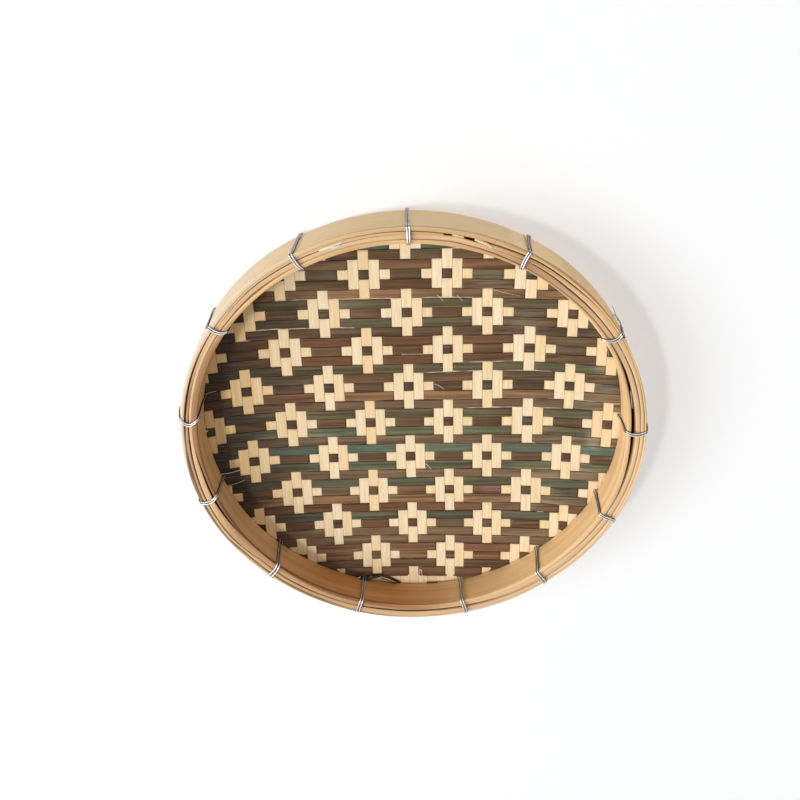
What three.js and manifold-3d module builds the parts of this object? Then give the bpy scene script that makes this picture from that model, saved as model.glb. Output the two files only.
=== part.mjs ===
import * as THREE from "three";
import { mergeVertices } from "three/addons/utils/BufferGeometryUtils.js";
import Module from "manifold-3d";

// A round hanging basket: a shallow tray woven from flat bamboo splints. The edge of the weave is
// clamped between two bent hoops and bound with doubled wire ties. Sizes are in millimetres.
// The back lies on the wall plane y = 0, the open side faces -Y and +Z is up. The origin is the
// point on the wall behind the top tie, where a nail catches it.
// Until the last lines everything is modelled about the middle of the lip, with y as the depth
// behind the lip.

// Rim, with thicknesses measured across the lip
const LIP_RADIUS = 125;
const RIM_TAPER = 0.051; // how much narrower the rim gets for each millimetre of depth
const OUTER_HOOP_DEPTH = 23.5;
const OUTER_HOOP_THICKNESS = 2.3;
const INNER_HOOP_DEPTH = 18.6;
const INNER_HOOP_THICKNESS = 2.6;
const RIM_SPLINT_THICKNESS = 1.1;
const RIM_SPLINT_SETBACK = 0.5; // from the lip down to the splints' edges
const MAT_EDGE_THICKNESS = 0.9; // the splints' ends, turned up and squeezed together
const MAT_EDGE_SETBACK = 1.0;

// Woven mat
const SPLINT_THICKNESS = 0.5;
const SPLINT_GAP = 0.2; // between neighbours in one layer
const MAT_SAG = 3.2; // how much deeper the middle of the mat lies than its edge
const WARP_COUNT = 43;
const WARP_TUCK = 2; // how far the outermost uprights reach under the inner hoop
const WARP_SHIFT = -1.96; // of the middle upright from the tray's middle
const WEFT_COUNT = 40;
const WEFT_SHIFT = 1.23; // of the cross splints' middle from the tray's middle
const TORN_WEFT_END_X = -5; // the lowest weft is broken off here

// Wire ties
const WIRE_DIAMETER = 0.9;
const WIRE_STRAND_GAP = 0.6;
const TIE_STAND_OFF = 0.6; // how far the wire stands clear of the inner hoop's foot
const TIE_END_LENGTH = 7;

// Where each tie crosses the lip, in degrees from +X towards +Z, and how far round from there its
// inner leg enters the mat and its outer leg reaches the back
const TIES = [
  { lip: 90, foot: 0, back: 0 },
  { lip: 117.3, foot: 0.8, back: -1.2 },
  { lip: 144.8, foot: 1.2, back: -1 },
  { lip: 172.5, foot: 0.5, back: -1.5 },
  { lip: 198.8, foot: 0, back: -1.8 },
  { lip: 227.8, foot: -2, back: 0 },
  { lip: 254.2, foot: 0.3, back: 0 },
  { lip: 282.9, foot: 0, back: 0 },
  { lip: 307, foot: 1.3, back: 0 },
  { lip: 333, foot: 1.3, back: 0.5 },
  { lip: 361.2, foot: -0.5, back: 1.5 },
  { lip: 389.6, foot: -1, back: -2.5 },
  { lip: 421, foot: -1.5, back: 0 },
];

const CLEARANCE = 0.3; // between pieces that touch
const RING_SEGMENTS = 72;
const SPLINT_STEPS = 6;
const WIRE_SIDES = 6;

const COLOURS = {
  outerHoop: 0xd8b083,
  innerHoop: 0xb98a58,
  rimSplint: 0xdcb98a,
  warp: 0xe2c494,
  weft: 0x40342b,
  wire: 0xb4afab,
};

// Layers of the rim from the outside in, each a clearance inside the last
const outerHoop = { outer: LIP_RADIUS, inner: LIP_RADIUS - OUTER_HOOP_THICKNESS };
const outerRimSplint = layerInside(outerHoop, RIM_SPLINT_THICKNESS);
const matEdge = layerInside(outerRimSplint, MAT_EDGE_THICKNESS);
const innerRimSplint = layerInside(matEdge, RIM_SPLINT_THICKNESS);
const innerHoop = layerInside(innerRimSplint, INNER_HOOP_THICKNESS);

// Depths and radii that follow from the sizes above
const weftFront = INNER_HOOP_DEPTH + CLEARANCE;
const warpFront = weftFront + SPLINT_THICKNESS + CLEARANCE;
const matBack = warpFront + SPLINT_THICKNESS;
const matRadius = radiusAt(innerHoop.inner, INNER_HOOP_DEPTH);
const warpEndRadius = radiusAt((matEdge.inner + matEdge.outer) / 2, warpFront);
const weftEndRadius = radiusAt(matEdge.inner, weftFront) - CLEARANCE;
const warpPitch = (2 * (matRadius + WARP_TUCK)) / WARP_COUNT;
const weftPitch = (2 * (matRadius - CLEARANCE)) / WEFT_COUNT;
const wireOffset = CLEARANCE + WIRE_DIAMETER / 2; // from a surface to the middle of a wire on it
const strandPitch = WIRE_DIAMETER + WIRE_STRAND_GAP;
const tieHoleRadius = radiusAt(innerHoop.inner, matBack) - wireOffset - TIE_STAND_OFF;
const wallDepth = OUTER_HOOP_DEPTH + CLEARANCE + WIRE_DIAMETER;
const hangHeight = (tieHoleRadius + radiusAt(outerHoop.inner, OUTER_HOOP_DEPTH)) / 2;

const wasm = await Module();
wasm.setup();

function layerInside(layer, thickness) {
  const outer = layer.inner - CLEARANCE;
  return { outer, inner: outer - thickness };
}

function radiusAt(lipRadius, depth) {
  return lipRadius - RIM_TAPER * depth;
}

function sagAt(radius) {
  return MAT_SAG * Math.max(0, 1 - (radius / matRadius) ** 2);
}

function toSolid(geometry) {
  const bare = geometry.clone();
  bare.deleteAttribute("normal");
  bare.deleteAttribute("uv");
  const merged = mergeVertices(bare);
  const mesh = new wasm.Mesh({
    numProp: 3,
    vertProperties: merged.attributes.position.array,
    triVerts: new Uint32Array(merged.index.array),
  });
  return new wasm.Manifold(mesh);
}

function toGeometry(solid) {
  const { vertProperties, triVerts } = solid.getMesh();
  const geometry = new THREE.BufferGeometry();
  geometry.setAttribute("position", new THREE.BufferAttribute(vertProperties, 3));
  geometry.setIndex(new THREE.BufferAttribute(triVerts, 1));
  geometry.computeVertexNormals();
  return geometry;
}

function piece(name, geometry, color, roughness, metalness = 0) {
  const material = new THREE.MeshStandardMaterial({ color, roughness, metalness });
  const mesh = new THREE.Mesh(geometry, material);
  mesh.name = name;
  return mesh;
}

// A bent slat that fills one layer of the rim between two depths.
function rimRing(layer, front, back) {
  const profile = [
    new THREE.Vector2(radiusAt(layer.inner, front), front),
    new THREE.Vector2(radiusAt(layer.outer, front), front),
    new THREE.Vector2(radiusAt(layer.outer, back), back),
    new THREE.Vector2(radiusAt(layer.inner, back), back),
  ];
  profile.push(profile[0].clone());
  return new THREE.LatheGeometry(profile, RING_SEGMENTS);
}

// Joins rings of points, all of the same count, into one closed tube with flat ends.
function closedTube(rings) {
  const sides = rings[0].length;
  const positions = rings.flat().flatMap((point) => point.toArray());
  const index = [];
  for (let ring = 0; ring + 1 < rings.length; ring++) {
    for (let side = 0; side < sides; side++) {
      const a = ring * sides + side;
      const b = ring * sides + ((side + 1) % sides);
      index.push(a, b, a + sides, b, b + sides, a + sides);
    }
  }
  const last = (rings.length - 1) * sides;
  for (let side = 1; side + 1 < sides; side++) {
    index.push(0, side + 1, side, last, last + side, last + side + 1);
  }
  const geometry = new THREE.BufferGeometry();
  geometry.setAttribute("position", new THREE.Float32BufferAttribute(positions, 3));
  geometry.setIndex(index);
  geometry.computeVertexNormals();
  return geometry;
}

// A flat splint that runs along X at height z and follows the sag of the mat. Both its long edges
// end on a circle, unless it is broken off before that on the right.
function splint(z, width, front, endRadius, brokenEnd = Infinity) {
  const edges = [z - width / 2, z + width / 2];
  const point = (edge, share, depth) => {
    const reach = Math.sqrt(Math.max(0, endRadius ** 2 - edge ** 2));
    const x = THREE.MathUtils.lerp(-reach, Math.min(reach, brokenEnd), share);
    return new THREE.Vector3(x, depth + sagAt(Math.hypot(x, edge)), edge);
  };
  const rings = [];
  for (let step = 0; step <= SPLINT_STEPS; step++) {
    const share = step / SPLINT_STEPS;
    rings.push([
      point(edges[0], share, front),
      point(edges[0], share, front + SPLINT_THICKNESS),
      point(edges[1], share, front + SPLINT_THICKNESS),
      point(edges[1], share, front),
    ]);
  }
  return closedTube(rings);
}

function radians(degrees) {
  return THREE.MathUtils.degToRad(degrees);
}

// A point of the rim's section, placed round the rim and shifted along its circumference.
function rimPoint(radius, depth, degrees, shift) {
  const angle = radians(degrees);
  const x = radius * Math.cos(angle) - shift * Math.sin(angle);
  const z = radius * Math.sin(angle) + shift * Math.cos(angle);
  return new THREE.Vector3(x, depth, z);
}

// The wire's bend round a corner of the rim's section: three points on an arc about that corner,
// from one direction to another, in degrees from outwards towards the wall.
function bend(radius, depth, from, to) {
  return [from, (from + to) / 2, to].map((degrees) => ({
    radius: radius + wireOffset * Math.cos(radians(degrees)),
    depth: depth + wireOffset * Math.sin(radians(degrees)),
  }));
}

// The middle line of one tie. It starts behind the mat, goes twice round the rim and ends beside
// its start, with its two turns side by side. They are laid towards the side it comes from behind.
function tieRoute({ lip, foot, back }) {
  const route = [];
  const hand = back > foot ? -1 : 1;
  const add = (points, lean, shift) => {
    for (const { radius, depth } of points) {
      route.push(rimPoint(radius, depth, lip + lean, hand * shift * strandPitch));
    }
  };
  const outerBack = radiusAt(outerHoop.outer, OUTER_HOOP_DEPTH);
  const innerBack = radiusAt(outerHoop.inner, OUTER_HOOP_DEPTH);
  const endDepth = matBack + wireOffset + sagAt(tieHoleRadius - TIE_END_LENGTH);
  const tip = { radius: tieHoleRadius - TIE_END_LENGTH, depth: endDepth };
  const root = { radius: tieHoleRadius - wireOffset, depth: endDepth };
  const underHoop = { radius: innerBack - CLEARANCE, depth: OUTER_HOOP_DEPTH + wireOffset };

  const [firstTurn, secondTurn] = [-0.5, 0.5]; // strand pitches to either side of the middle
  const towardsHoop = 110; // the first turn leaves its slot obliquely, out to the outer hoop

  add([tip], foot, firstTurn - 0.5);
  add([root], foot, firstTurn - 1);
  for (const turn of [firstTurn, secondTurn]) {
    add([underHoop], back, turn);
    add(bend(outerBack, OUTER_HOOP_DEPTH, 90, 0), back, turn);
    add(bend(outerHoop.outer, 0, 0, -90), 0, turn);
    add(bend(innerHoop.inner, 0, -90, -180), 0, turn);
    if (turn === firstTurn) {
      add(bend(tieHoleRadius + wireOffset, matBack, 180, towardsHoop), foot, turn);
    }
  }
  add([{ radius: tieHoleRadius, depth: matBack - wireOffset }], foot, secondTurn);
  add(bend(tieHoleRadius - wireOffset, endDepth - wireOffset, 0, 90), foot, secondTurn);
  add([tip], foot, secondTurn - 0.5);
  return route;
}

// A round wire along a route, its rings turned to the same side all the way.
function wire(route) {
  const along = route.map((point, k) => {
    const before = route[Math.max(k - 1, 0)];
    const after = route[Math.min(k + 1, route.length - 1)];
    const arriving = point.clone().sub(before).normalize();
    const leaving = after.clone().sub(point).normalize();
    return arriving.add(leaving).normalize();
  });
  const start = route[0];
  const sideways = new THREE.Vector3(-start.z, 0, start.x).normalize();
  const rings = route.map((point, k) => {
    const across = sideways.clone().addScaledVector(along[k], -sideways.dot(along[k])).normalize();
    const up = along[k].clone().cross(across);
    return Array.from({ length: WIRE_SIDES }, (_, side) => {
      const angle = (2 * Math.PI * side) / WIRE_SIDES;
      return point
        .clone()
        .addScaledVector(across, (Math.cos(angle) * WIRE_DIAMETER) / 2)
        .addScaledVector(up, (Math.sin(angle) * WIRE_DIAMETER) / 2);
    });
  });
  return closedTube(rings);
}

// The least gap between two turns of one wire, measured on points along its middle line.
function leastGapToItself(route) {
  const step = WIRE_DIAMETER / 4;
  const apart = 5 * WIRE_DIAMETER;
  const points = [];
  let length = 0;
  for (let k = 0; k + 1 < route.length; k++) {
    const span = route[k].distanceTo(route[k + 1]);
    for (let at = 0; at < span; at += step) {
      points.push({ place: route[k].clone().lerp(route[k + 1], at / span), at: length + at });
    }
    length += span;
  }
  let least = Infinity;
  points.forEach((a, k) => {
    for (const b of points.slice(k + 1)) {
      if (b.at - a.at > apart) least = Math.min(least, a.place.distanceTo(b.place));
    }
  });
  return least - WIRE_DIAMETER;
}

// The slot through the mat for the two strands of a tie.
function tieSlot({ lip, foot }) {
  const strands = strandPitch + WIRE_DIAMETER;
  const slot = new THREE.BoxGeometry(
    WIRE_DIAMETER + 2 * CLEARANCE,
    4 * (matBack - weftFront),
    strands + 2 * CLEARANCE,
  );
  slot.translate(tieHoleRadius, (weftFront + matBack) / 2, 0);
  slot.rotateY(-radians(lip + foot));
  return toSolid(slot);
}

const slots = TIES.map(tieSlot).reduce((all, slot) => all.add(slot));

// The two hoops and the splints packed between them.
function rim() {
  const hoop = (name, layer, depth, color) => piece(name, rimRing(layer, 0, depth), color, 0.5);
  const packing = (name, layer) => {
    const ring = rimRing(layer, RIM_SPLINT_SETBACK, INNER_HOOP_DEPTH);
    return piece(name, ring, COLOURS.rimSplint, 0.65);
  };
  return [
    hoop("outer_hoop", outerHoop, OUTER_HOOP_DEPTH, COLOURS.outerHoop),
    packing("rim_splint_outer", outerRimSplint),
    packing("rim_splint_inner", innerRimSplint),
    hoop("inner_hoop", innerHoop, INNER_HOOP_DEPTH, COLOURS.innerHoop),
  ];
}

// The upright splints, joined at their ends by the edge of the mat, which turns up between the hoops.
function warpMat() {
  let solid = toSolid(rimRing(matEdge, MAT_EDGE_SETBACK, matBack));
  for (let k = 0; k < WARP_COUNT; k++) {
    const x = WARP_SHIFT + (k - (WARP_COUNT - 1) / 2) * warpPitch;
    const upright = splint(x, warpPitch - SPLINT_GAP, warpFront, warpEndRadius);
    solid = solid.add(toSolid(upright.rotateY(Math.PI / 2)));
  }
  return piece("warp_mat", toGeometry(solid.subtract(slots)), COLOURS.warp, 0.7);
}

function wefts() {
  return Array.from({ length: WEFT_COUNT }, (_, k) => {
    const z = WEFT_SHIFT + ((WEFT_COUNT - 1) / 2 - k) * weftPitch;
    const brokenEnd = k === WEFT_COUNT - 1 ? TORN_WEFT_END_X : Infinity;
    const strip = splint(z, weftPitch - SPLINT_GAP, weftFront, weftEndRadius, brokenEnd);
    const name = "weft_splint_" + String(k + 1).padStart(2, "0");
    return piece(name, toGeometry(toSolid(strip).subtract(slots)), COLOURS.weft, 0.6);
  });
}

function ties() {
  return TIES.map((tie, k) => {
    const name = "wire_tie_" + String(k + 1).padStart(2, "0");
    return piece(name, wire(tieRoute(tie)), COLOURS.wire, 0.35, 0.9);
  });
}

const gaps = TIES.map((tie) => leastGapToItself(tieRoute(tie)));
console.log("least gap of a tie to itself: " + Math.min(...gaps).toFixed(2) + " mm");

const basket = new THREE.Group();
basket.add(...rim(), warpMat(), ...wefts(), ...ties());
basket.position.set(0, -wallDepth, -hangHeight);

const hangingBasket = new THREE.Group();
hangingBasket.add(basket);

export default hangingBasket;
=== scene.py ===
# %% [markdown]
# # A hanging tray of woven splints
#
# The tray is a flat weave of thin bamboo splints whose rim is clamped between bent bamboo hoops and bound
# with wire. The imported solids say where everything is. This lesson dresses them: each splint is woven
# over and under its neighbours, the hoops get their bends, grain and packing, and the ties their turns.

# %% Load the frame
import math
import random

import bmesh
import bpy
import numpy as np
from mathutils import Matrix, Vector


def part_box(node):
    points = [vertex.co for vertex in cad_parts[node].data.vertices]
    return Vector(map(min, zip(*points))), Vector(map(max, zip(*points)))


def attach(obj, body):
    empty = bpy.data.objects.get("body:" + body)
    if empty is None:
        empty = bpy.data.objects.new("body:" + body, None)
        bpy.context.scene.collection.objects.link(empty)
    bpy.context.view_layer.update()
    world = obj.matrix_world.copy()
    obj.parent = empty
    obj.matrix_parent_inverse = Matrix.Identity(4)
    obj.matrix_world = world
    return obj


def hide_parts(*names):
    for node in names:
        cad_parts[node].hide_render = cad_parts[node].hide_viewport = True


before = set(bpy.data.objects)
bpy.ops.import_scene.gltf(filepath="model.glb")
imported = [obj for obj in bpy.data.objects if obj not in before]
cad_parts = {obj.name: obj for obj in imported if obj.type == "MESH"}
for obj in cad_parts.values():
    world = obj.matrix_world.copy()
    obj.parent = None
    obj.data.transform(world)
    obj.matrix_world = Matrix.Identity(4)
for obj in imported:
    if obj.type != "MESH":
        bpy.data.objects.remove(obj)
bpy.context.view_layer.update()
bpy.ops.object.select_all(action="DESELECT")
print("nodes in the frame:", len(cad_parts))

# %% [markdown]
# ## Sizes
#
# Lengths are worked out in millimetres about the middle of the lip, with `depth` counted from the lip
# towards the wall, because that is how a basket maker would measure the tray. One function turns such a
# place into Blender's metres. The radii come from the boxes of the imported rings, so they can't disagree.

# %% The rim's layers
MM = 0.001
CLEARANCE = 0.3  # between two layers
RIM_TAPER = 0.051  # how much narrower the rim gets with each millimetre of depth
INNER_HOOP_THICKNESS = 2.6
SPLINT_THICKNESS = 0.36
WEAVE_HEIGHT = 0.34  # of a splint's middle above or below the middle of the mat
MAT_SAG = 3.2

lip_low, lip_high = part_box("outer_hoop")
LIP_Y = lip_low[1]
CENTRE_Z = (lip_low[2] + lip_high[2]) / 2
HOOP_DEPTH = (lip_high[1] - LIP_Y) / MM
FOOT_DEPTH = (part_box("inner_hoop")[1][1] - LIP_Y) / MM
SETBACK = (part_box("rim_splint_outer")[0][1] - LIP_Y) / MM

LAYER_NODES = ["outer_hoop", "rim_splint_outer", "warp_mat", "rim_splint_inner", "inner_hoop"]
outer_radii = [(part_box(node)[1][0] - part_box(node)[0][0]) / 2 / MM for node in LAYER_NODES]
inner_radii = [radius + CLEARANCE for radius in outer_radii[1:]] + [outer_radii[-1] - INNER_HOOP_THICKNESS]
layers = dict(zip(LAYER_NODES, zip(outer_radii, inner_radii)))
for node, (outer, inner) in layers.items():
    print(node, "from radius", round(outer, 2), "to", round(inner, 2), "mm")


def to_row(x, depth, z):
    """A place about the lip's middle, in millimetres, as arrays in the frame's metres."""
    return x * MM, LIP_Y + depth * MM, CENTRE_Z + z * MM


# %% [markdown]
# ## Hands and eyes for edit mode
#
# Every piece starts as a primitive that is shaped in edit mode. Small helpers keep that readable: one makes
# a single object active, one opens edit mode on it, one selects by a test on each face, edge or vertex, and
# one closes the open ends of a mesh. Blender guesses which side of a closed mesh is the outside, and guesses
# wrong on a long strip with turned up ends. The sign of the volume tells, so the last helper goes by that.

# %% Helpers for edit mode
def pick(piece):
    bpy.ops.object.select_all(action="DESELECT")
    piece.select_set(True)
    bpy.context.view_layer.objects.active = piece


def open_edit(piece):
    pick(piece)
    bpy.ops.object.mode_set(mode="EDIT")
    bpy.ops.mesh.select_mode(type="VERT")


def close_edit():
    bpy.ops.object.mode_set(mode="OBJECT")


def choose(piece, kind, test):
    """Selects the parts of one kind that pass a test, and nothing else."""
    bpy.ops.mesh.select_mode(type=kind)
    bpy.ops.mesh.select_all(action="DESELECT")
    cage = bmesh.from_edit_mesh(piece.data)
    parts = {"VERT": cage.verts, "EDGE": cage.edges, "FACE": cage.faces}[kind]
    for part in parts:
        if test(part):
            part.select_set(True)
    bmesh.update_edit_mesh(piece.data)


def close_holes(piece):
    """Fills the open ends of a mesh in edit mode and turns all its faces outwards."""
    bpy.ops.mesh.select_mode(type="VERT")
    bpy.ops.mesh.select_all(action="DESELECT")
    bpy.ops.mesh.select_non_manifold(
        extend=False,
        use_wire=False,
        use_multi_face=False,
        use_non_contiguous=False,
    )
    bpy.ops.mesh.fill_holes(sides=0)
    bpy.ops.mesh.select_all(action="SELECT")
    bpy.ops.mesh.normals_make_consistent(inside=False)
    if bmesh.from_edit_mesh(piece.data).calc_volume(signed=True) < 0:
        bpy.ops.mesh.flip_normals()


# %% [markdown]
# ## Points and painted numbers
#
# A bend that depends on the place is worked out for all points of a mesh at once: they are read into arrays,
# moved and written back. Numbers and colours are painted on the points in the same way, for the materials to
# read. Much here is a short table of places, so one helper follows a table from row to row.

# %% Helpers for points
def read_points(piece):
    points = np.empty(len(piece.data.vertices) * 3)
    piece.data.vertices.foreach_get("co", points)
    return points.reshape(-1, 3)


def write_points(piece, x, y, z):
    piece.data.vertices.foreach_set("co", np.stack([x, y, z], 1).ravel())
    piece.data.update()


def measure(piece):
    """The points of a mesh as x, depth and z about the lip's middle, in millimetres."""
    points = read_points(piece)
    return points[:, 0] / MM, (points[:, 1] - LIP_Y) / MM, (points[:, 2] - CENTRE_Z) / MM


def paint_number(piece, name, values):
    """Paints one number, or one for each point."""
    layer = piece.data.attributes.new(name, "FLOAT", "POINT")
    layer.data.foreach_set("value", np.zeros(len(piece.data.vertices)) + values)


def paint_colour(piece, name, colours):
    layer = piece.data.attributes.new(name, "FLOAT_COLOR", "POINT")
    layer.data.foreach_set("color", colours.ravel())


def follow(place, rows, column=1, period=None):
    """A column of a table at places between its rows, whose first column says where each row holds."""
    return np.interp(place, [row[0] for row in rows], [row[column] for row in rows], period=period)


def round_rim(angle, rows, column=1):
    return follow(angle, rows, column, 360)


def away_from(spot, x, z):
    """How far places are from a spot's middle, counted in the spot's own reach to each side."""
    middle_x, middle_z, reach_x, reach_z = spot
    return np.hypot((x - middle_x) / reach_x, (z - middle_z) / reach_z)


def finish_piece(piece, material, nodes, smooth_angle=40):
    """Gives a finished mesh its material and its place in the frame."""
    pick(piece)
    bpy.ops.object.shade_smooth_by_angle(angle=math.radians(smooth_angle))
    piece.data.materials.clear()
    piece.data.materials.append(material)
    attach(piece, "root")
    if nodes:
        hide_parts(*nodes)


# %% [markdown]
# ## Camera
#
# The photograph looks down on the tray from about thirty degrees above the line straight into it. The
# camera stands where the size of the rim, the slant of the rows and the depth of the foot agree with that.

# %% Camera
CAMERA_PLACE = (0.00991, -0.57214, 0.24733)
CAMERA_TURN = (58.259, 1.524, 0.720)  # degrees about X, Y and Z
CAMERA_LENS = 54.97
CAMERA_SENSOR = 36

bpy.ops.object.camera_add(location=CAMERA_PLACE, rotation=[math.radians(turn) for turn in CAMERA_TURN])
camera = bpy.context.object
camera.name = "camera"
camera.data.lens = CAMERA_LENS
camera.data.sensor_width = CAMERA_SENSOR
camera.data.clip_start = 0.01
bpy.context.scene.camera = camera

# %% [markdown]
# ## Node helpers
#
# Materials are small graphs of nodes. These helpers add a node with its settings, join sockets and turn a
# given colour into the linear numbers that a shader wants.

# %% Helpers for materials
def srgb(red, green, blue):
    """A colour as a screen shows it, 0 to 255, as linear red, green, blue and alpha."""
    linear = []
    for value in (red, green, blue):
        share = value / 255
        linear.append(share / 12.92 if share <= 0.04045 else ((share + 0.055) / 1.055) ** 2.4)
    return (*linear, 1.0)


def add_node(tree, kind, inputs=None, **settings):
    node = tree.nodes.new(kind)
    for key, value in settings.items():
        setattr(node, key, value)
    for key, value in (inputs or {}).items():
        if isinstance(value, bpy.types.NodeSocket):
            tree.links.new(value, node.inputs[key])
        else:
            node.inputs[key].default_value = value
    return node


def maths(tree, operation, first, second=0.0, third=0.0):
    inputs = {0: first, 1: second, 2: third}
    return add_node(tree, "ShaderNodeMath", inputs, operation=operation).outputs[0]


def mix_colours(tree, share, first, second, blend="MIX"):
    inputs = {0: share, 6: first, 7: second}
    return add_node(tree, "ShaderNodeMix", inputs, data_type="RGBA", blend_type=blend).outputs[2]


def fit_range(tree, value, low, high, to_low=0.0, to_high=1.0):
    inputs = {"Value": value, "From Min": low, "From Max": high, "To Min": to_low, "To Max": to_high}
    return add_node(tree, "ShaderNodeMapRange", inputs).outputs[0]


def new_material(name):
    material = bpy.data.materials.new(name)
    material.use_nodes = True
    tree = material.node_tree
    shader = tree.nodes["Principled BSDF"]
    return material, tree, shader


def new_group(name, inputs, outputs):
    """An empty shader group whose sockets are given as (name, kind) pairs."""
    group = bpy.data.node_groups.new(name, "ShaderNodeTree")
    for socket_name, kind in inputs:
        group.interface.new_socket(socket_name, in_out="INPUT", socket_type="NodeSocket" + kind)
    for socket_name, kind in outputs:
        group.interface.new_socket(socket_name, in_out="OUTPUT", socket_type="NodeSocket" + kind)
    entry = group.nodes.new("NodeGroupInput")
    leave = group.nodes.new("NodeGroupOutput")
    return group, entry, leave


def noise(tree, place, scale, detail, roughness=0.5):
    inputs = {"Vector": place, "Scale": scale, "Detail": detail, "Roughness": roughness}
    return add_node(tree, "ShaderNodeTexNoise", inputs).outputs[0]


def painted(tree, name, output="Fac"):
    """A number that was painted on the points of a mesh, or a colour."""
    return add_node(tree, "ShaderNodeAttribute", attribute_name=name).outputs[output]


# %% [markdown]
# ## Bamboo fibre
#
# Split bamboo shows fine parallel fibres. All bamboo here shares one group: it reads a place whose scale
# along the fibre is already squeezed, and gives fine streaks, broad bands and a height for the bump.
# Noise that is stretched along one axis does this better than a wave, which would repeat.

# %% Group: bamboo fibre
fibre_group, entry, leave = new_group(
    "bamboo fibre",
    [("Place", "Vector"), ("Fine Scale", "Float"), ("Broad Scale", "Float")],
    [("Fine", "Float"), ("Broad", "Float"), ("Height", "Float")],
)
fine = noise(fibre_group, entry.outputs["Place"], entry.outputs["Fine Scale"], 3.0, 0.65)
broad = noise(fibre_group, entry.outputs["Place"], entry.outputs["Broad Scale"], 2.0)
fine_mask = fit_range(fibre_group, fine, 0.32, 0.68)
broad_mask = fit_range(fibre_group, broad, 0.3, 0.7)
height = maths(fibre_group, "MULTIPLY_ADD", fine_mask, 0.7, maths(fibre_group, "MULTIPLY", broad_mask, 0.3))
for output, value in (("Fine", fine_mask), ("Broad", broad_mask), ("Height", height)):
    fibre_group.links.new(value, leave.inputs[output])


def bamboo_fibre(tree, place, fine_scale, broad_scale):
    inputs = {"Place": place, "Fine Scale": fine_scale, "Broad Scale": broad_scale}
    return add_node(tree, "ShaderNodeGroup", inputs, node_tree=fibre_group).outputs


print("group made:", fibre_group.name)

# %% [markdown]
# ## Places for the fibre
#
# On a straight splint the fibre runs along X or Z, so Object coordinates are squeezed on that axis. Each
# splint carries a number of its own in the `strip` attribute, which shifts the noise so that no two look
# cut from one picture. On a hoop the fibre runs round the ring: X and Z change slowly there, while depth
# and radius change fast, which gives streaks round the ring with no seam.

# %% Fibre places
ALONG_SQUEEZE = 0.02


def splint_place(tree, scale):
    """Object coordinates, squeezed along the splint and shifted by its own number."""
    coordinates = add_node(tree, "ShaderNodeTexCoord").outputs["Object"]
    squeezed = add_node(tree, "ShaderNodeMapping", {"Vector": coordinates, "Scale": scale}).outputs[0]
    shift = add_node(tree, "ShaderNodeCombineXYZ", {"Y": painted(tree, "strip")}).outputs[0]
    return add_node(tree, "ShaderNodeVectorMath", {0: squeezed, 1: shift}, operation="ADD").outputs[0]


def hoop_place(tree, shift):
    """Object coordinates that change fast across a hoop's fibre and slowly round the ring."""
    coordinates = add_node(tree, "ShaderNodeTexCoord").outputs["Object"]
    centred = {"Vector": coordinates, "Location": (0, 0, -CENTRE_Z)}
    place = add_node(tree, "ShaderNodeMapping", centred).outputs[0]
    parts = add_node(tree, "ShaderNodeSeparateXYZ", {0: place}).outputs
    flat = add_node(tree, "ShaderNodeCombineXYZ", {"X": parts["X"], "Z": parts["Z"]}).outputs[0]
    radius = add_node(tree, "ShaderNodeVectorMath", {0: flat}, operation="LENGTH").outputs["Value"]
    across = maths(tree, "ADD", parts["Y"], radius)
    slow_x = maths(tree, "MULTIPLY", parts["X"], ALONG_SQUEEZE)
    slow_z = maths(tree, "MULTIPLY", parts["Z"], ALONG_SQUEEZE)
    shifted = maths(tree, "ADD", slow_x, shift)
    return add_node(tree, "ShaderNodeCombineXYZ", {"X": shifted, "Y": across, "Z": slow_z}).outputs[0]


# %% [markdown]
# ## What all the bamboo shares
#
# Down between two layers no light comes from outside, so the colour there is painted dark brown, which is
# painted shade, and the sheen is turned off. A painted number marks those faces, and it also carries the
# painted shade on the rim's lips. The long edges of a splint, where `across` comes near a half, get a colour
# of their own: painted shade in the seams, or pale where a splint is frayed. The fibre drives the roughness
# and a fine bump.

# %% Finish of the bamboo
# painted shade: the dark brown that bamboo turns to where it lies in shade
PAINTED_SHADE_COLOUR = srgb(128, 82, 58)


def near_edge(tree, start):
    """1 along both long edges of a splint, 0 between them."""
    away = maths(tree, "ABSOLUTE", painted(tree, "across"))
    return fit_range(tree, away, start, 0.5)


def finish_bamboo(tree, shader, fibre, colour, sheen, roughness, grain):
    """Joins a bamboo's colour, sheen, range of roughness, and strength and depth of grain to its shader."""
    # painted shade: the colour turns dark brown where the painted number says
    painted_shade = painted(tree, "painted_shade")
    bump = {"Height": fibre["Height"], "Strength": grain[0], "Distance": grain[1]}
    sockets = {
        "Base Color": mix_colours(tree, painted_shade, colour, PAINTED_SHADE_COLOUR),
        "Specular IOR Level": fit_range(tree, painted_shade, 0, 1, sheen, 0),
        "Roughness": fit_range(tree, fibre["Fine"], 0, 1, *roughness),
        "Normal": add_node(tree, "ShaderNodeBump", bump).outputs[0],
    }
    for socket, value in sockets.items():
        tree.links.new(value, shader.inputs[socket])
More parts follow.
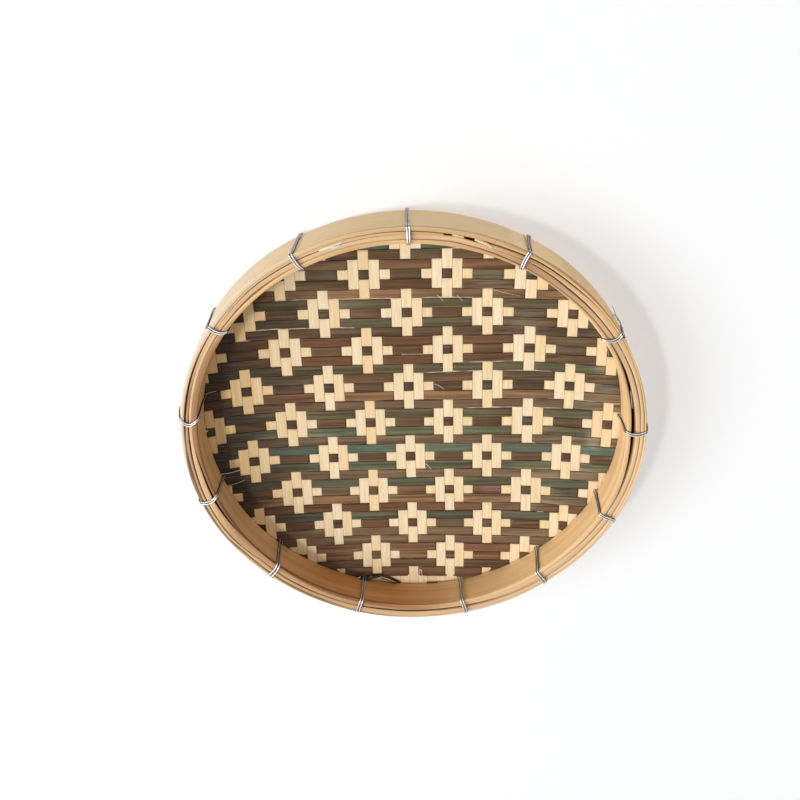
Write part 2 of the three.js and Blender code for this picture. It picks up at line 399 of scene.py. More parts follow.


# %% [markdown]
# ## Natural splint
#
# The upright splints are left as they were split: straw coloured, with a faint grain, some a little pinker
# or darker than the next, and a soft gloss. The tone of a whole splint comes from its own number. Painted
# shade turns them warmer and darker towards the left, and darkens their long edges in the seams.

# %% Material: natural splint
natural_material, tree, shader = new_material("natural splint")
place = splint_place(tree, (1, 1, ALONG_SQUEEZE))
fibre = bamboo_fibre(tree, place, 1500.0, 420.0)
own = {"W": painted(tree, "strip")}
tone = add_node(tree, "ShaderNodeTexWhiteNoise", own, noise_dimensions="1D").outputs["Value"]
base = mix_colours(tree, tone, srgb(246, 235, 206), srgb(240, 221, 176))
banded = mix_colours(tree, maths(tree, "MULTIPLY", fibre["Broad"], 0.45), base, srgb(236, 198, 144))
streaked = mix_colours(tree, maths(tree, "MULTIPLY", fibre["Fine"], 0.5), banded, srgb(214, 168, 114))
blush = fit_range(tree, noise(tree, place, 60.0, 1.0), 0.54, 0.7, 0.0, 0.28)
blushed = mix_colours(tree, blush, streaked, srgb(242, 196, 156))
# Painted shade: warmer and darker towards the left, where the rim shades the uprights
left_shade = mix_colours(tree, painted(tree, "left_shade"), blushed, srgb(255, 240, 212), "MULTIPLY")
# Painted shade: the long edges darken where the seams lie in shade
edge = maths(tree, "MULTIPLY", near_edge(tree, 0.44), 0.5)
edged = mix_colours(tree, edge, left_shade, srgb(170, 118, 72))
finish_bamboo(tree, shader, fibre, edged, 0.5, (0.5, 0.66), (0.5, 0.06 * MM))

# %% [markdown]
# ## Dyed splint
#
# The cross splints were dipped in brown, olive, green and near black dyes before weaving. The dye took
# unevenly, so each splint drifts towards another colour along its length. That drift is painted on the
# mesh as the `dye` colour, which also carries painted shade at the left and painted sheen at the right. The
# material only adds the fibre, a few paler places that are partly scuffs and partly painted sheen, long
# edges that are dark with painted shade or pale where frayed, and the sheen.

# %% Material: dyed splint
dyed_material, tree, shader = new_material("dyed splint")
place = splint_place(tree, (ALONG_SQUEEZE, 1, 1))
fibre = bamboo_fibre(tree, place, 1300.0, 520.0)
broad_share = maths(tree, "MULTIPLY", fibre["Broad"], 0.9)
darker = mix_colours(tree, broad_share, painted(tree, "dye", "Color"), srgb(128, 118, 112), "MULTIPLY")
lighter = mix_colours(tree, fibre["Fine"], darker, srgb(70, 58, 44), "ADD")
worn = fit_range(tree, noise(tree, place, 90.0, 2.0), 0.6, 0.8, 0.0, 0.3)
rubbed = mix_colours(tree, worn, lighter, srgb(140, 106, 70))
# Paler places, partly scuffs and partly painted sheen
scuff_and_sheen_share = maths(tree, "MULTIPLY", painted(tree, "scuff_and_sheen"), fibre["Fine"])
pale = mix_colours(tree, scuff_and_sheen_share, rubbed, srgb(178, 168, 150))
frays = painted(tree, "frayed")
# Painted shade: the long edges turn near black where the seams lie in shade, and pale where a splint is
# frayed
edge_colour = mix_colours(tree, frays, srgb(30, 22, 16), srgb(250, 240, 224))
edge = near_edge(tree, fit_range(tree, frays, 0, 1, 0.43, 0.37))
edge_share = maths(tree, "MULTIPLY", edge, fit_range(tree, frays, 0, 1, 0.75, 1.0))
edged = mix_colours(tree, edge_share, pale, edge_colour)
finish_bamboo(tree, shader, fibre, edged, 0.12, (0.42, 0.6), (0.5, 0.06 * MM))

# %% [markdown]
# ## Hoop bamboo
#
# The hoops are cut from the outer wall of the cane. Their rind side is smooth and honey coloured, and the
# cut edges in the lip show coarser fibre. One function makes the three finishes, because they differ only
# in their colours and in how strong the bands are. Bamboo ripens unevenly: the `ripe` number painted on
# the points leads from a pale young set of colours (pale, honey, dark) to a browner one.

# %% Materials: hoops and rim splints
def hoop_material(name, young, brown, band_strength, shift):
    material, tree, shader = new_material(name)
    place = hoop_place(tree, shift)
    fibre = bamboo_fibre(tree, place, 1500.0, 260.0)
    ripe = painted(tree, "ripe")
    pairs = zip(young, brown)
    pale, honey, dark = [mix_colours(tree, ripe, srgb(*first), srgb(*last)) for first, last in pairs]
    base = mix_colours(tree, fit_range(tree, noise(tree, place, 90.0, 2.0), 0.35, 0.65), pale, honey)
    banded = mix_colours(tree, maths(tree, "MULTIPLY", fibre["Broad"], band_strength), base, dark)
    fine_share = maths(tree, "MULTIPLY", fibre["Fine"], band_strength * 0.6)
    streaked = mix_colours(tree, fine_share, banded, dark)
    finish_bamboo(tree, shader, fibre, streaked, 0.5, (0.4, 0.56), (0.4, 0.1 * MM))
    return material


YOUNG_OUTER = [(234, 212, 188), (226, 202, 174), (204, 166, 130)]
BROWN_OUTER = [(255, 222, 160), (255, 210, 146), (228, 170, 104)]
YOUNG_INNER = [(246, 214, 164), (236, 198, 142), (206, 160, 106)]
BROWN_INNER = [(250, 186, 116), (232, 164, 98), (172, 108, 58)]
YOUNG_PACKING = [(246, 216, 172), (232, 194, 146), (190, 146, 100)]
BROWN_PACKING = [(226, 184, 134), (204, 158, 108), (150, 104, 66)]
outer_material = hoop_material("outer hoop bamboo", YOUNG_OUTER, BROWN_OUTER, 0.14, 0.0)
inner_material = hoop_material("inner hoop bamboo", YOUNG_INNER, BROWN_INNER, 0.6, 3.0)
packing_material = hoop_material("rim splint bamboo", YOUNG_PACKING, BROWN_PACKING, 0.45, 6.0)

# %% [markdown]
# ## Galvanised wire
#
# Zinc-coated wire is a dull metal with faint mottling. Metallic stays high and the roughness varies. Only
# the line that stands farthest off the rim keeps the bright zinc. The sides, which the `crest` number marks,
# are darkened: partly grime, partly painted shade between the strands and the rim. Where the wire turns
# away from the view it is painted darker too, which is painted shade.

# %% Material: galvanised wire
wire_material, tree, shader = new_material("galvanised wire")
coordinates = add_node(tree, "ShaderNodeTexCoord").outputs["Object"]
spangle = noise(tree, coordinates, 900.0, 3.0)
zinc = mix_colours(tree, spangle, srgb(244, 242, 242), srgb(176, 170, 168))
# Painted shade, with some grime: the wire is darkened on its sides and where it turns away from the view
slant = add_node(tree, "ShaderNodeLayerWeight", {"Blend": 0.5}).outputs["Facing"]
grime_and_shade = fit_range(tree, painted(tree, "crest"), 0.25, 0.9, 1, 0)
sides = maths(tree, "MAXIMUM", grime_and_shade, fit_range(tree, slant, 0.5, 0.9))
tree.links.new(mix_colours(tree, sides, zinc, srgb(40, 30, 28)), shader.inputs["Base Color"])
tree.links.new(fit_range(tree, spangle, 0.3, 0.7, 0.3, 0.45), shader.inputs["Roughness"])
shader.inputs["Metallic"].default_value = 0.9

# %% [markdown]
# ## Uneven circles
#
# A slat bent by hand never makes a true circle. `swell` is a smooth rise at one place of the rim and
# `wander` adds a few slow waves, the same for every layer, so that the layers still lie on each other.

# %% Shape of the rim
WANDER_WAVES = [(3, 0.18, 0.6), (5, 0.12, 2.1), (9, 0.07, 0.0)]  # waves round the rim, size and start
RIPPLE_WAVES = [(7, 0.5), (11, 0.3), (17, 0.2)]  # waves round the rim, and share of the size
HOOP_SPRINGS = [(4, 22, 0.9), (350, 40, 0.3), (200, 22, 0.7)]  # middle and half width in degrees, and how far


def swell(angle, centre, half_width):
    """1 at one angle, falling smoothly to 0 at half_width degrees to either side."""
    away = np.abs((angle - centre + 180) % 360 - 180)
    return np.where(away < half_width, 0.5 + 0.5 * np.cos(np.pi * away / half_width), 0)


def wander(angle):
    """How far the whole rim strays outwards, in millimetres."""
    theta = np.radians(angle)
    return sum(size * np.sin(count * theta + start) for count, size, start in WANDER_WAVES)


def inner_hoop_stray(angle):
    """The inner hoop springs away from the packing at the right and at the lower left."""
    return -sum(far * swell(angle, centre, half_width) for centre, half_width, far in HOOP_SPRINGS)


def ripple(angle, seed, size):
    """Small waves of one layer's own, in millimetres."""
    theta = np.radians(angle)
    return size * sum(share * np.sin(count * theta + seed * count) for count, share in RIPPLE_WAVES)


# %% [markdown]
# ## Lines in the lip
#
# Seen from the front, the rim is a bundle of slats with dark lines between them. The slats were pushed
# about when the ties were drawn tight, so the lines wander across the lip, and gape in places. The table
# says what the photograph shows. Only the first two millimetres behind the lip follow it: behind that
# the layers lie where they were packed.

# %% Lines in the lip
LIP_REACH = 2.0
CUT_MARGIN = 0.4  # keeps the points at the end of that reach where they are
LINE_SHARE = 1.2  # the camera blurs a thin line, so each is cut a little wider than it looks

# The angle in degrees, then radius and width in millimetres of three lines: outside the inner hoop,
# between the two packing splints, and inside the outer hoop
LIP_LINES = [
    (0, 118.6, 2.5, 122.2, 0.4, 124.4, 0.6),
    (5, 118.6, 2.3, 122.2, 0.35, 124.3, 0.5),
    (10, 118.5, 1.8, 122.2, 0.4, 124.1, 0.4),
    (19, 118.5, 1.4, 122.0, 0.65, 124.4, 0.4),
    (27, 118.1, 0.3, 121.2, 0.35, 124.6, 0.5),
    (37, 117.7, 0.1, 120.4, 0.35, 124.0, 0.35),
    (48, 116.8, 0.05, 119.7, 0.6, 122.6, 0.6),
    (58, 116.8, 0.0, 120.3, 0.2, 122.8, 0.5),
    (67, 117.3, 0.25, 119.6, 0.05, 121.9, 0.8),
    (79, 118.3, 0.0, 121.2, 0.0, 121.9, 0.45),
    (88, 117.9, 0.0, 120.6, 0.0, 122.2, 0.5),
    (105, 118.2, 0.0, 120.5, 0.1, 122.5, 0.1),
    (120, 118.3, 0.1, 121.0, 0.35, 122.8, 0.0),
    (131, 118.5, 0.8, 121.5, 0.3, 122.9, 0.0),
    (141, 118.6, 0.3, 120.8, 0.0, 122.3, 0.05),
    (153, 119.3, 0.0, 120.8, 0.0, 122.2, 0.65),
    (169, 118.8, 0.1, 120.3, 0.1, 122.1, 1.15),
    (181, 118.2, 0.05, 120.5, 0.7, 122.8, 0.2),
    (190, 116.9, 1.3, 121.0, 0.65, 123.3, 1.4),
    (200, 117.2, 1.3, 121.7, 0.5, 123.9, 0.95),
    (211, 116.6, 0.5, 122.3, 0.7, 124.4, 0.6),
    (217, 116.3, 0.1, 121.4, 0.1, 123.2, 0.7),
    (222, 116.2, 0.05, 120.1, 0.1, 123.2, 0.6),
    (231, 117.0, 0.0, 121.0, 0.4, 123.6, 0.5),
    (243, 118.0, 0.0, 121.2, 0.65, 124.0, 0.6),
    (252, 118.2, 0.0, 121.4, 0.4, 124.8, 0.7),
    (261, 118.0, 0.0, 120.6, 0.8, 124.8, 0.75),
    (275, 118.0, 0.0, 120.8, 1.1, 124.3, 0.45),
    (287, 118.2, 0.05, 121.4, 1.5, 123.8, 0.0),
    (297, 118.2, 0.05, 122.0, 1.3, 123.6, 0.0),
    (312, 118.1, 0.15, 122.2, 1.0, 123.8, 0.05),
    (326, 118.4, 0.7, 122.4, 1.3, 124.2, 0.1),
    (340, 119.2, 0.8, 122.4, 0.5, 124.4, 0.25),
    (352, 119.0, 2.1, 122.3, 0.4, 124.6, 0.5),
]


def lip_line(angle, number):
    """Radius and width of one of the three lines at angles in degrees."""
    radius = round_rim(angle, LIP_LINES, 1 + 2 * number)
    return radius, LINE_SHARE * round_rim(angle, LIP_LINES, 2 + 2 * number)


def meet_lines(angle, radius, depth, layer, inner_line, outer_line, stray=0.0):
    """Moves the lip of one layer to the lines at its two sides, where it has them."""
    outer, inner = layer
    share = np.clip((radius + RIM_TAPER * depth - inner) / (outer - inner), 0, 1)
    low = inner + wander(angle) + stray
    high = outer + wander(angle) + stray
    if inner_line is not None:
        place, width = lip_line(angle, inner_line)
        low = place + width / 2
    if outer_line is not None:
        place, width = lip_line(angle, outer_line)
        high = place - width / 2
    at_lip = low + share * (high - low) - RIM_TAPER * depth
    return np.where(depth < LIP_REACH - CUT_MARGIN, at_lip, radius + wander(angle) + stray)


# %% [markdown]
# ## Hoops and packing
#
# Each ring of the rim is one profile spun about the middle of the tray. The profile starts as a plane, is
# scaled to the slat's section, pulled in at the back, and gets its long sides divided and its corners
# bevelled. Spin works on its outline alone, so that no face is left inside the ring.

# %% Spun rings
RING_STEPS = 288
SIDE_CUTS = 4
LONG_SIDE = 5 * MM  # longer than any slat is thick
TOUCHING = 1e-6


def spun_ring(name, outer, inner, front, back, corner):
    """A ring between two radii at the lip and two depths, with bevelled corners."""
    bpy.ops.mesh.primitive_plane_add(size=1)
    ring = bpy.context.object
    ring.name = name
    bpy.ops.transform.resize(value=((outer - inner) * MM, (back - front) * MM, 1))
    bpy.ops.transform.translate(value=to_row((outer + inner) / 2, (front + back) / 2, 0))
    bpy.ops.object.transform_apply(location=True, rotation=True, scale=True)
    open_edit(ring)
    end_places = [to_row(0, depth, 0)[1] for depth in (front, back)]
    for depth, end_y in zip((front, back), end_places):
        choose(ring, "VERT", lambda point: abs(point.co.y - end_y) < 0.1 * MM)
        bpy.ops.transform.translate(value=(-RIM_TAPER * depth * MM, 0, 0))
    choose(ring, "EDGE", lambda edge: edge.calc_length() > LONG_SIDE)
    bpy.ops.mesh.subdivide(number_cuts=SIDE_CUTS)
    choose(ring, "VERT", lambda point: min(abs(point.co.y - end_y) for end_y in end_places) < TOUCHING)
    bpy.ops.mesh.bevel(offset=corner * MM, segments=2, affect="VERTICES")
    bpy.ops.mesh.select_all(action="SELECT")
    bpy.ops.mesh.bisect(plane_co=to_row(0, LIP_REACH, 0), plane_no=(0, 1, 0))
    choose(ring, "EDGE", lambda edge: not edge.is_boundary)
    bpy.ops.mesh.delete(type="EDGE")
    bpy.ops.mesh.select_mode(type="VERT")
    bpy.ops.mesh.select_all(action="SELECT")
    bpy.ops.mesh.spin(steps=RING_STEPS, angle=2 * math.pi, center=(0, 0, CENTRE_Z), axis=(0, 1, 0))
    bpy.ops.mesh.select_all(action="SELECT")
    bpy.ops.mesh.remove_doubles(threshold=TOUCHING)
    bpy.ops.mesh.normals_make_consistent(inside=False)
    close_edit()
    return ring


def ring_polar(ring):
    """The points of a ring as angle in degrees, radius and depth in millimetres."""
    x, depth, z = measure(ring)
    return np.degrees(np.arctan2(z, x)), np.hypot(x, z), depth


def write_polar(ring, angle, radius, depth):
    theta = np.radians(angle)
    write_points(ring, *to_row(radius * np.cos(theta), depth, radius * np.sin(theta)))


# %% [markdown]
# ## Painted shade and ripeness round the rim
#
# The lips, and the inner hoop's face at the right, are painted darker in places round the rim, which is
# painted shade. Short lists of (angle, share) pairs say how far a lip turns to the dark brown of the painted
# shade, and how far the bamboo turns from young to ripe. The outer hoop has one list for the inner half of
# its lip and one for its outer edge.

# %% Shade lists
OUTER_SHADES = [
    (0, 0.2), (30, 0.4), (45, 0.25), (75, 0.5), (90, 0.55), (105, 0.35), (120, 0.1), (180, 0.1), (195, 0.25),
    (225, 0.2), (243, 0.45), (258, 0.2), (272, 0.0), (300, 0.35), (330, 0.3),
]
EDGE_SHADES = [
    (0, 0.8), (15, 0.72), (30, 0.9), (60, 0.6), (75, 0.36), (105, 0.35), (135, 0.13), (165, 0.0), (180, 0.0),
    (195, 0.4), (225, 0.58), (240, 0.9), (255, 0.65), (270, 0.2), (285, 0.3), (300, 0.05), (315, 0.1),
    (330, 0.45), (345, 0.7),
]
INNER_SHADES = [
    (0, 0.0), (15, 0.15), (30, 0.0), (60, 0.3), (75, 0.25), (90, 0.0), (105, 0.25), (135, 0.05), (150, 0.65),
    (180, 0.72), (205, 0.9), (225, 0.96), (258, 0.84), (270, 0.5), (285, 0.1), (298, 0.0),
]
INNER_FACE_SHADES = [(0, 0.22), (20, 0.1), (60, 0.0), (298, 0.0), (320, 0.1), (340, 0.17)]
PACKING_SHADES = [
    [
        (0, 0.0), (45, 0.0), (60, 0.5), (72, 0.1), (150, 0.0), (165, 0.6), (180, 0.3), (210, 0.0),
        (240, 0.3), (270, 0.0),
    ],
    [
        (0, 0.0), (35, 0.1), (60, 0.5), (75, 0.0), (135, 0.2), (150, 0.0), (200, 0.0), (212, 0.45),
        (240, 0.35), (270, 0.6), (282, 0.0),
    ],
]
OUTER_RIPE = [
    (0, 0.9), (40, 1.0), (98, 0.9), (124, 0.5), (142, 0.1), (200, 0.2), (225, 0.9), (262, 0.8), (285, 0.2),
]
INNER_RIPE = [
    (0, 0.0), (120, 0.2), (182, 0.3), (222, 0.3), (240, 0.95), (264, 0.95), (275, 0.5), (286, 0.15),
    (296, 0.0),
]
PACKING_RIPE = [(0, 0.2), (60, 0.6), (100, 0.4), (150, 0.3), (250, 0.5), (320, 0.1)]
SHADE_FROM = 0.6  # depth at which the dark between two layers starts
SHADE_FADE = 0.8  # and over which it deepens
SHADE_TO = 16  # farther back the layers' sides can be seen from behind


def paint_shade(ring, depth, side, at_lip, elsewhere=0.0):
    """Paints shade on the side of a ring that lies against its neighbours, and on its lip and its face as the
    lists say.
    """
    between = side * np.clip((depth - SHADE_FROM) / SHADE_FADE, 0, 1) * (depth < SHADE_TO)
    paint_number(ring, "painted_shade", np.maximum(between, np.where(depth < 1, at_lip, elsewhere)))


# %% Outer hoop
outer, inner = layers["outer_hoop"]
outer_hoop = spun_ring("bent_outer_hoop", outer, inner, 0, HOOP_DEPTH, 0.4)
angle, radius, depth = ring_polar(outer_hoop)
bulge = 0.1 * np.sin(depth / HOOP_DEPTH * math.pi)
at_inside = radius + RIM_TAPER * depth < (outer + inner) / 2
# Painted shade between the layers and on the lip, whose inner half and outer edge follow their own lists
lip_shade = np.where(at_inside, round_rim(angle, OUTER_SHADES), round_rim(angle, EDGE_SHADES))
paint_shade(outer_hoop, depth, at_inside, lip_shade)
radius = meet_lines(angle, radius, depth, (outer, inner), 2, None) + bulge
write_polar(outer_hoop, angle, radius, depth + ripple(angle, 1, 0.15) * (depth < HOOP_DEPTH / 2))
paint_number(outer_hoop, "ripe", round_rim(angle, OUTER_RIPE))
finish_piece(outer_hoop, outer_material, ["outer_hoop"])
print("outer hoop:", len(outer_hoop.data.polygons), "faces")

# %% Inner hoop
outer, inner = layers["inner_hoop"]
inner_hoop = spun_ring("bent_inner_hoop", outer, inner, 0, FOOT_DEPTH, 0.5)
angle, radius, depth = ring_polar(inner_hoop)
at_outside = radius + RIM_TAPER * depth > (outer + inner) / 2
# Painted shade between the layers, on the lip and on the inner face at the right
lip_shade = round_rim(angle, INNER_SHADES)
paint_shade(inner_hoop, depth, at_outside, lip_shade, round_rim(angle, INNER_FACE_SHADES))
radius = meet_lines(angle, radius, depth, (outer, inner), None, 0, inner_hoop_stray(angle))
write_polar(inner_hoop, angle, radius, depth + ripple(angle, 2, 0.2) * (depth < FOOT_DEPTH / 2))
paint_number(inner_hoop, "ripe", round_rim(angle, INNER_RIPE))
finish_piece(inner_hoop, inner_material, ["inner_hoop"])
print("inner hoop:", len(inner_hoop.data.polygons), "faces")

# %% [markdown]
# ## Packing
#
# Two thin splints fill the space between the hoops and the mat's turned up edge. They are rings like the
# hoops. The outer one is broken out near the top: its faces there are deleted, and the open ends, which
# are first made ragged, are filled.

# %% Rim splints
TORN_FROM = 73.6  # the outer packing splint is broken out between these angles
TORN_TO = 82.0
TORN_REACH = 3  # degrees over which an end gets ragged


def tear_out(ring, first, last):
    """Takes a length out of a ring and closes both ends, which stay ragged."""
    angle, radius, depth = ring_polar(ring)
    middle = (first + last) / 2
    ragged = 0.8 * np.sin(depth * 2.3) + 0.45 * np.sin(depth * 5.1 + 1)
    torn = (angle > first - TORN_REACH) & (angle < last + TORN_REACH)
    near_first = np.clip(1 - (first - angle) / TORN_REACH, 0, 1) * (angle < middle)
    near_last = np.clip(1 - (angle - last) / TORN_REACH, 0, 1) * (angle > middle)
    write_polar(ring, angle - torn * ragged * (near_first - near_last), radius, depth)

    def missing(face):
        place = face.calc_center_median()
        return first < math.degrees(math.atan2(place.z - CENTRE_Z, place.x)) < last

    open_edit(ring)
    choose(ring, "FACE", missing)
    bpy.ops.mesh.delete(type="FACE")
    close_holes(ring)
    close_edit()


for number, node in enumerate(["rim_splint_outer", "rim_splint_inner"]):
    outer, inner = layers[node]
    packing = spun_ring(node.replace("rim", "packing"), outer, inner, SETBACK, FOOT_DEPTH, 0.25)
    angle, radius, depth = ring_polar(packing)
    # Painted shade between the layers and on the lip
    paint_shade(packing, depth - SETBACK, 1, round_rim(angle, PACKING_SHADES[number]))
    radius = meet_lines(angle, radius, depth, (outer, inner), 1 - number, 2 - number)
    lift = ripple(angle, 5 + number, 0.3) * (depth < FOOT_DEPTH / 2)
    write_polar(packing, angle, radius, depth + lift)
    paint_number(packing, "ripe", round_rim(angle, PACKING_RIPE))
    if node == "rim_splint_outer":
        tear_out(packing, TORN_FROM, TORN_TO)
    finish_piece(packing, packing_material, [node])
print("packing splints laid:", number + 1)

# %% [markdown]
# ## The weave
#
# The mat is a twill with flowers: dark cross splints cover the light uprights except round each flower's
# eye, where the uprights come to the front. The eyes stand on a grid of eight by eight splints with one
# more in the middle of each square, and an upright is in front one or two steps from an eye.

# %% The weave's rule
WARP_COUNT = 43
WEFT_COUNT = sum(node.startswith("weft_splint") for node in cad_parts)
MIDDLE_WARP = 21
EYE_WARP = MIDDLE_WARP
EYE_WEFT = 4
REPEAT = 8


def steps_to_eye(warp, weft, eye_warp, eye_weft):
    """Steps across and down from one crossing to the nearest eye of one grid of eyes."""
    across = (warp - eye_warp + REPEAT // 2) % REPEAT - REPEAT // 2
    down = (weft - eye_weft + REPEAT // 2) % REPEAT - REPEAT // 2
    return abs(across) + abs(down)


def upright_in_front(warp, weft):
    half = REPEAT // 2
    nearest = min(
        steps_to_eye(warp, weft, EYE_WARP + half, EYE_WEFT),
        steps_to_eye(warp, weft, EYE_WARP, EYE_WEFT + half),
    )
    return 1 <= nearest <= 2


for weft in range(REPEAT):
    print("".join("#" if upright_in_front(warp, weft) else "." for warp in range(WARP_COUNT)))

# %% Where the splints lie
SKIPPED = 5  # splints at each end, which lie less evenly, that the mean pitch leaves out
weft_boxes = [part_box(f"weft_splint_{k + 1:02d}") for k in range(WEFT_COUNT)]
weft_middles = [((low[2] + high[2]) / 2 - CENTRE_Z) / MM for low, high in weft_boxes]
WEFT_PITCH = (weft_middles[SKIPPED] - weft_middles[-1 - SKIPPED]) / (WEFT_COUNT - 1 - 2 * SKIPPED)
WEFT_TOP = weft_middles[SKIPPED] + SKIPPED * WEFT_PITCH
foot_radius = layers["inner_hoop"][1] - RIM_TAPER * FOOT_DEPTH
WARP_TUCK = 2.0
WARP_PITCH = 2 * (foot_radius + WARP_TUCK) / WARP_COUNT
WARP_MIDDLE_X = -1.96
MAT_MIDDLE = 19.55
CORNER_RADIUS = 1.0
edge_outer, edge_inner = layers["warp_mat"]
WALL_RADIUS = (edge_outer + edge_inner) / 2 - RIM_TAPER * MAT_MIDDLE
print("pitch of the cross splints", round(WEFT_PITCH, 3), "and of the uprights", round(WARP_PITCH, 3))

# %% [markdown]
# ## One blank splint
#
# A blank is one cell of the weave, from one crossing to the next: a cube scaled to the splint's section,
# with its long edges bevelled, cut where the splint has to bend, and opened at both ends. An array joins
# as many cells as the longest splint needs. Every splint is a copy of a blank, bent to its own path.

# %% Blank splints
SPLINT_EDGE = 0.06
BEND_SHARE = 0.17  # of a cell, to either side of the line between two crossings
BEND_CUTS = [-0.5 + BEND_SHARE * share for share in (0.33, 0.67, 1.0)]
BLANK_LEAD = 6  # cells of a blank before the first crossing, and after the last
CELL_MERGE = 0.01


def splint_blank(name, cell, width, count):
    """A straight splint along X, open at both ends, with its first cell about the origin."""
    bpy.ops.mesh.primitive_cube_add(size=1)
    blank = bpy.context.object
    blank.name = name
    bpy.ops.transform.resize(value=(cell, SPLINT_THICKNESS, width))
    bpy.ops.object.transform_apply(location=False, rotation=False, scale=True)
    open_edit(blank)
    choose(blank, "EDGE", lambda edge: abs(edge.verts[0].co.x - edge.verts[1].co.x) > cell / 2)
    bpy.ops.mesh.bevel(offset=SPLINT_EDGE, segments=1, affect="EDGES")
    choose(blank, "FACE", lambda face: abs(face.normal.x) > 0.9)
    bpy.ops.mesh.delete(type="FACE")
    for share in BEND_CUTS + [0.0] + [-cut for cut in BEND_CUTS]:
        bpy.ops.mesh.select_all(action="SELECT")
        bpy.ops.mesh.bisect(plane_co=(share * cell, 0, 0), plane_no=(1, 0, 0))
    close_edit()
    cells = blank.modifiers.new("cells", "ARRAY")
    cells.count = count
    cells.use_relative_offset = False
    cells.use_constant_offset = True
    cells.constant_offset_displace = (cell, 0, 0)
    cells.use_merge_vertices = True
    cells.merge_threshold = CELL_MERGE
    bpy.ops.object.modifier_apply(modifier=cells.name)
    return blank


weft_blank = splint_blank("weft_blank", WARP_PITCH, WEFT_PITCH, WARP_COUNT + 2 * BLANK_LEAD)
warp_blank = splint_blank("warp_blank", WEFT_PITCH, WARP_PITCH, WEFT_COUNT + 2 * BLANK_LEAD)
print("a blank has", len(weft_blank.data.vertices), "points")

# %% [markdown]
# ## Over and under
#
# Along a splint, each crossing asks for the front or the back of the mat. Between two crossings that
# differ, the splint slides from one side to the other in a short bend. Where it stays in front for
# several crossings it stands a little proud, as slack splints do.

# %% Height along a splint
FLOAT_RISE = 0.28
FULL_FLOAT = 5  # crossings that a float passes before it rises all the way


def splint_height(cells, fronts):
    """How far in front of the mat's middle a splint lies, at places counted in crossings."""
    count = len(fronts)
    sides = np.where(fronts, 1.0, -1.0)
    nearest = np.clip(np.round(cells), 0, count - 1).astype(int)
    away = np.clip(cells, 0, count - 1) - nearest
    neighbour = np.clip(nearest + np.where(away >= 0, 1, -1), 0, count - 1)
    reach = np.clip((0.5 - np.abs(away)) / BEND_SHARE, 0, 1)
    hold = 0.5 + 0.5 * (reach * reach * (3 - 2 * reach))
    height = WEAVE_HEIGHT * (sides[nearest] * hold + sides[neighbour] * (1 - hold))
    starts = np.zeros(count)
    lengths = np.zeros(count)
    begin = 0
    for k in range(1, count + 1):
        if k == count or fronts[k] != fronts[begin]:
            starts[begin:k] = begin
            lengths[begin:k] = k - begin
            begin = k
    along = np.clip((cells - starts[nearest] + 0.5) / lengths[nearest], 0, 1)
    slack = np.clip((lengths[nearest] - 1) / (FULL_FLOAT - 1), 0, 1)
    return height + np.where(sides[nearest] > 0, FLOAT_RISE * slack * np.sin(np.pi * along) ** 1.5, 0)


# %% [markdown]
# ## Seams between neighbours
#
# Two neighbours share a seam, a line that wavers and opens or closes along its length. Each splint fills
# the space between its two seams, so neighbours never run into each other, and where a seam opens wide
# the light splint behind shows as the hairline that the real mat has.

# %% Seams
SEAM_WOBBLE = {"warp": 0.1, "weft": 0.16}
SEAM_GAP = {"warp": 0.035, "weft": 0.06}  # half of how wide a seam gapes at its widest
STRAY_SPANS = (37.0, 61.0, 103.0)
GAP_SPANS = (29.0, 47.0, 83.0)
BROKEN_SEAM_DROP = 1.3  # the seam above the broken splint lies this much lower


def drift(place, seed, spans):
    """A slow irregular wave between about -1 and 1 along a length in millimetres."""
    chance = random.Random(seed)
    return sum(np.sin(2 * math.pi * (place / span + chance.random())) for span in spans) / len(spans)


# Seams of the cross splints that gape: the splint above, where along it, how far and how wide
OPEN_SEAMS = [
    (4, 42, 12, 0.35),
    (5, 56, 14, 0.3),
    (6, -40, 34, 0.5),
    (6, 12, 34, 0.5),
    (9, -68, 22, 0.55),
    (14, 30, 34, 0.4),
    (18, 46, 18, 0.45),
    (25, -104, 12, 0.6),
    (32, -70, 18, 0.4),
    (34, 24, 14, 0.3),
    (36, -4, 16, 0.45),
]


def seam(family, number, place):
    """The line between two neighbours: how far it strays and half of how wide it gapes."""
    stray = SEAM_WOBBLE[family] * drift(place, f"{family} stray {number}", STRAY_SPANS)
    open_share = np.clip(drift(place, f"{family} gap {number}", GAP_SPANS), 0, 1)
    half_gap = SEAM_GAP[family] * (0.4 + 0.6 * open_share)
    if family == "weft":
        if number == WEFT_COUNT - 2:
            stray = stray - BROKEN_SEAM_DROP
        for above, centre, reach, width in OPEN_SEAMS:
            if above == number:
                half_gap = half_gap + width / 2 * np.clip(1.2 - np.abs(place - centre) / reach, 0, 1)
    return stray, half_gap


# %% [markdown]
# ## Where the weave has slipped
#
# The tray has hung for years, and its weave sags out of square. Both sides droop, and smaller areas have
# slipped against each other. `droop` says how far any place of the mat has moved, so that cross splints and
# uprights move together.

# %% Slips
# Middle in x and z, reach in x and z, and how far to the right and upwards
SLIPS = [
    (-95, 0, 42, 999, -1.2, 0),
    (40, 0, 35, 999, -0.2, 0),
    (75, 0, 25, 999, 0.6, 0),
    (55, 0, 70, 999, -0.7, 0),
    (60, -75, 90, 90, 0.9, 0),
    (45, 75, 40, 40, -0.6, 0),
    (105, -120, 130, 130, 0, -3.2),
    (60, 30, 60, 60, 0, 0.9),
    (75, 90, 60, 60, 0, -1.5),
    (-45, -60, 130, 130, 0, -0.4),
    (-105, -120, 90, 90, 0, -3.6),
    (45, 0, 40, 40, 0, -0.6),
]


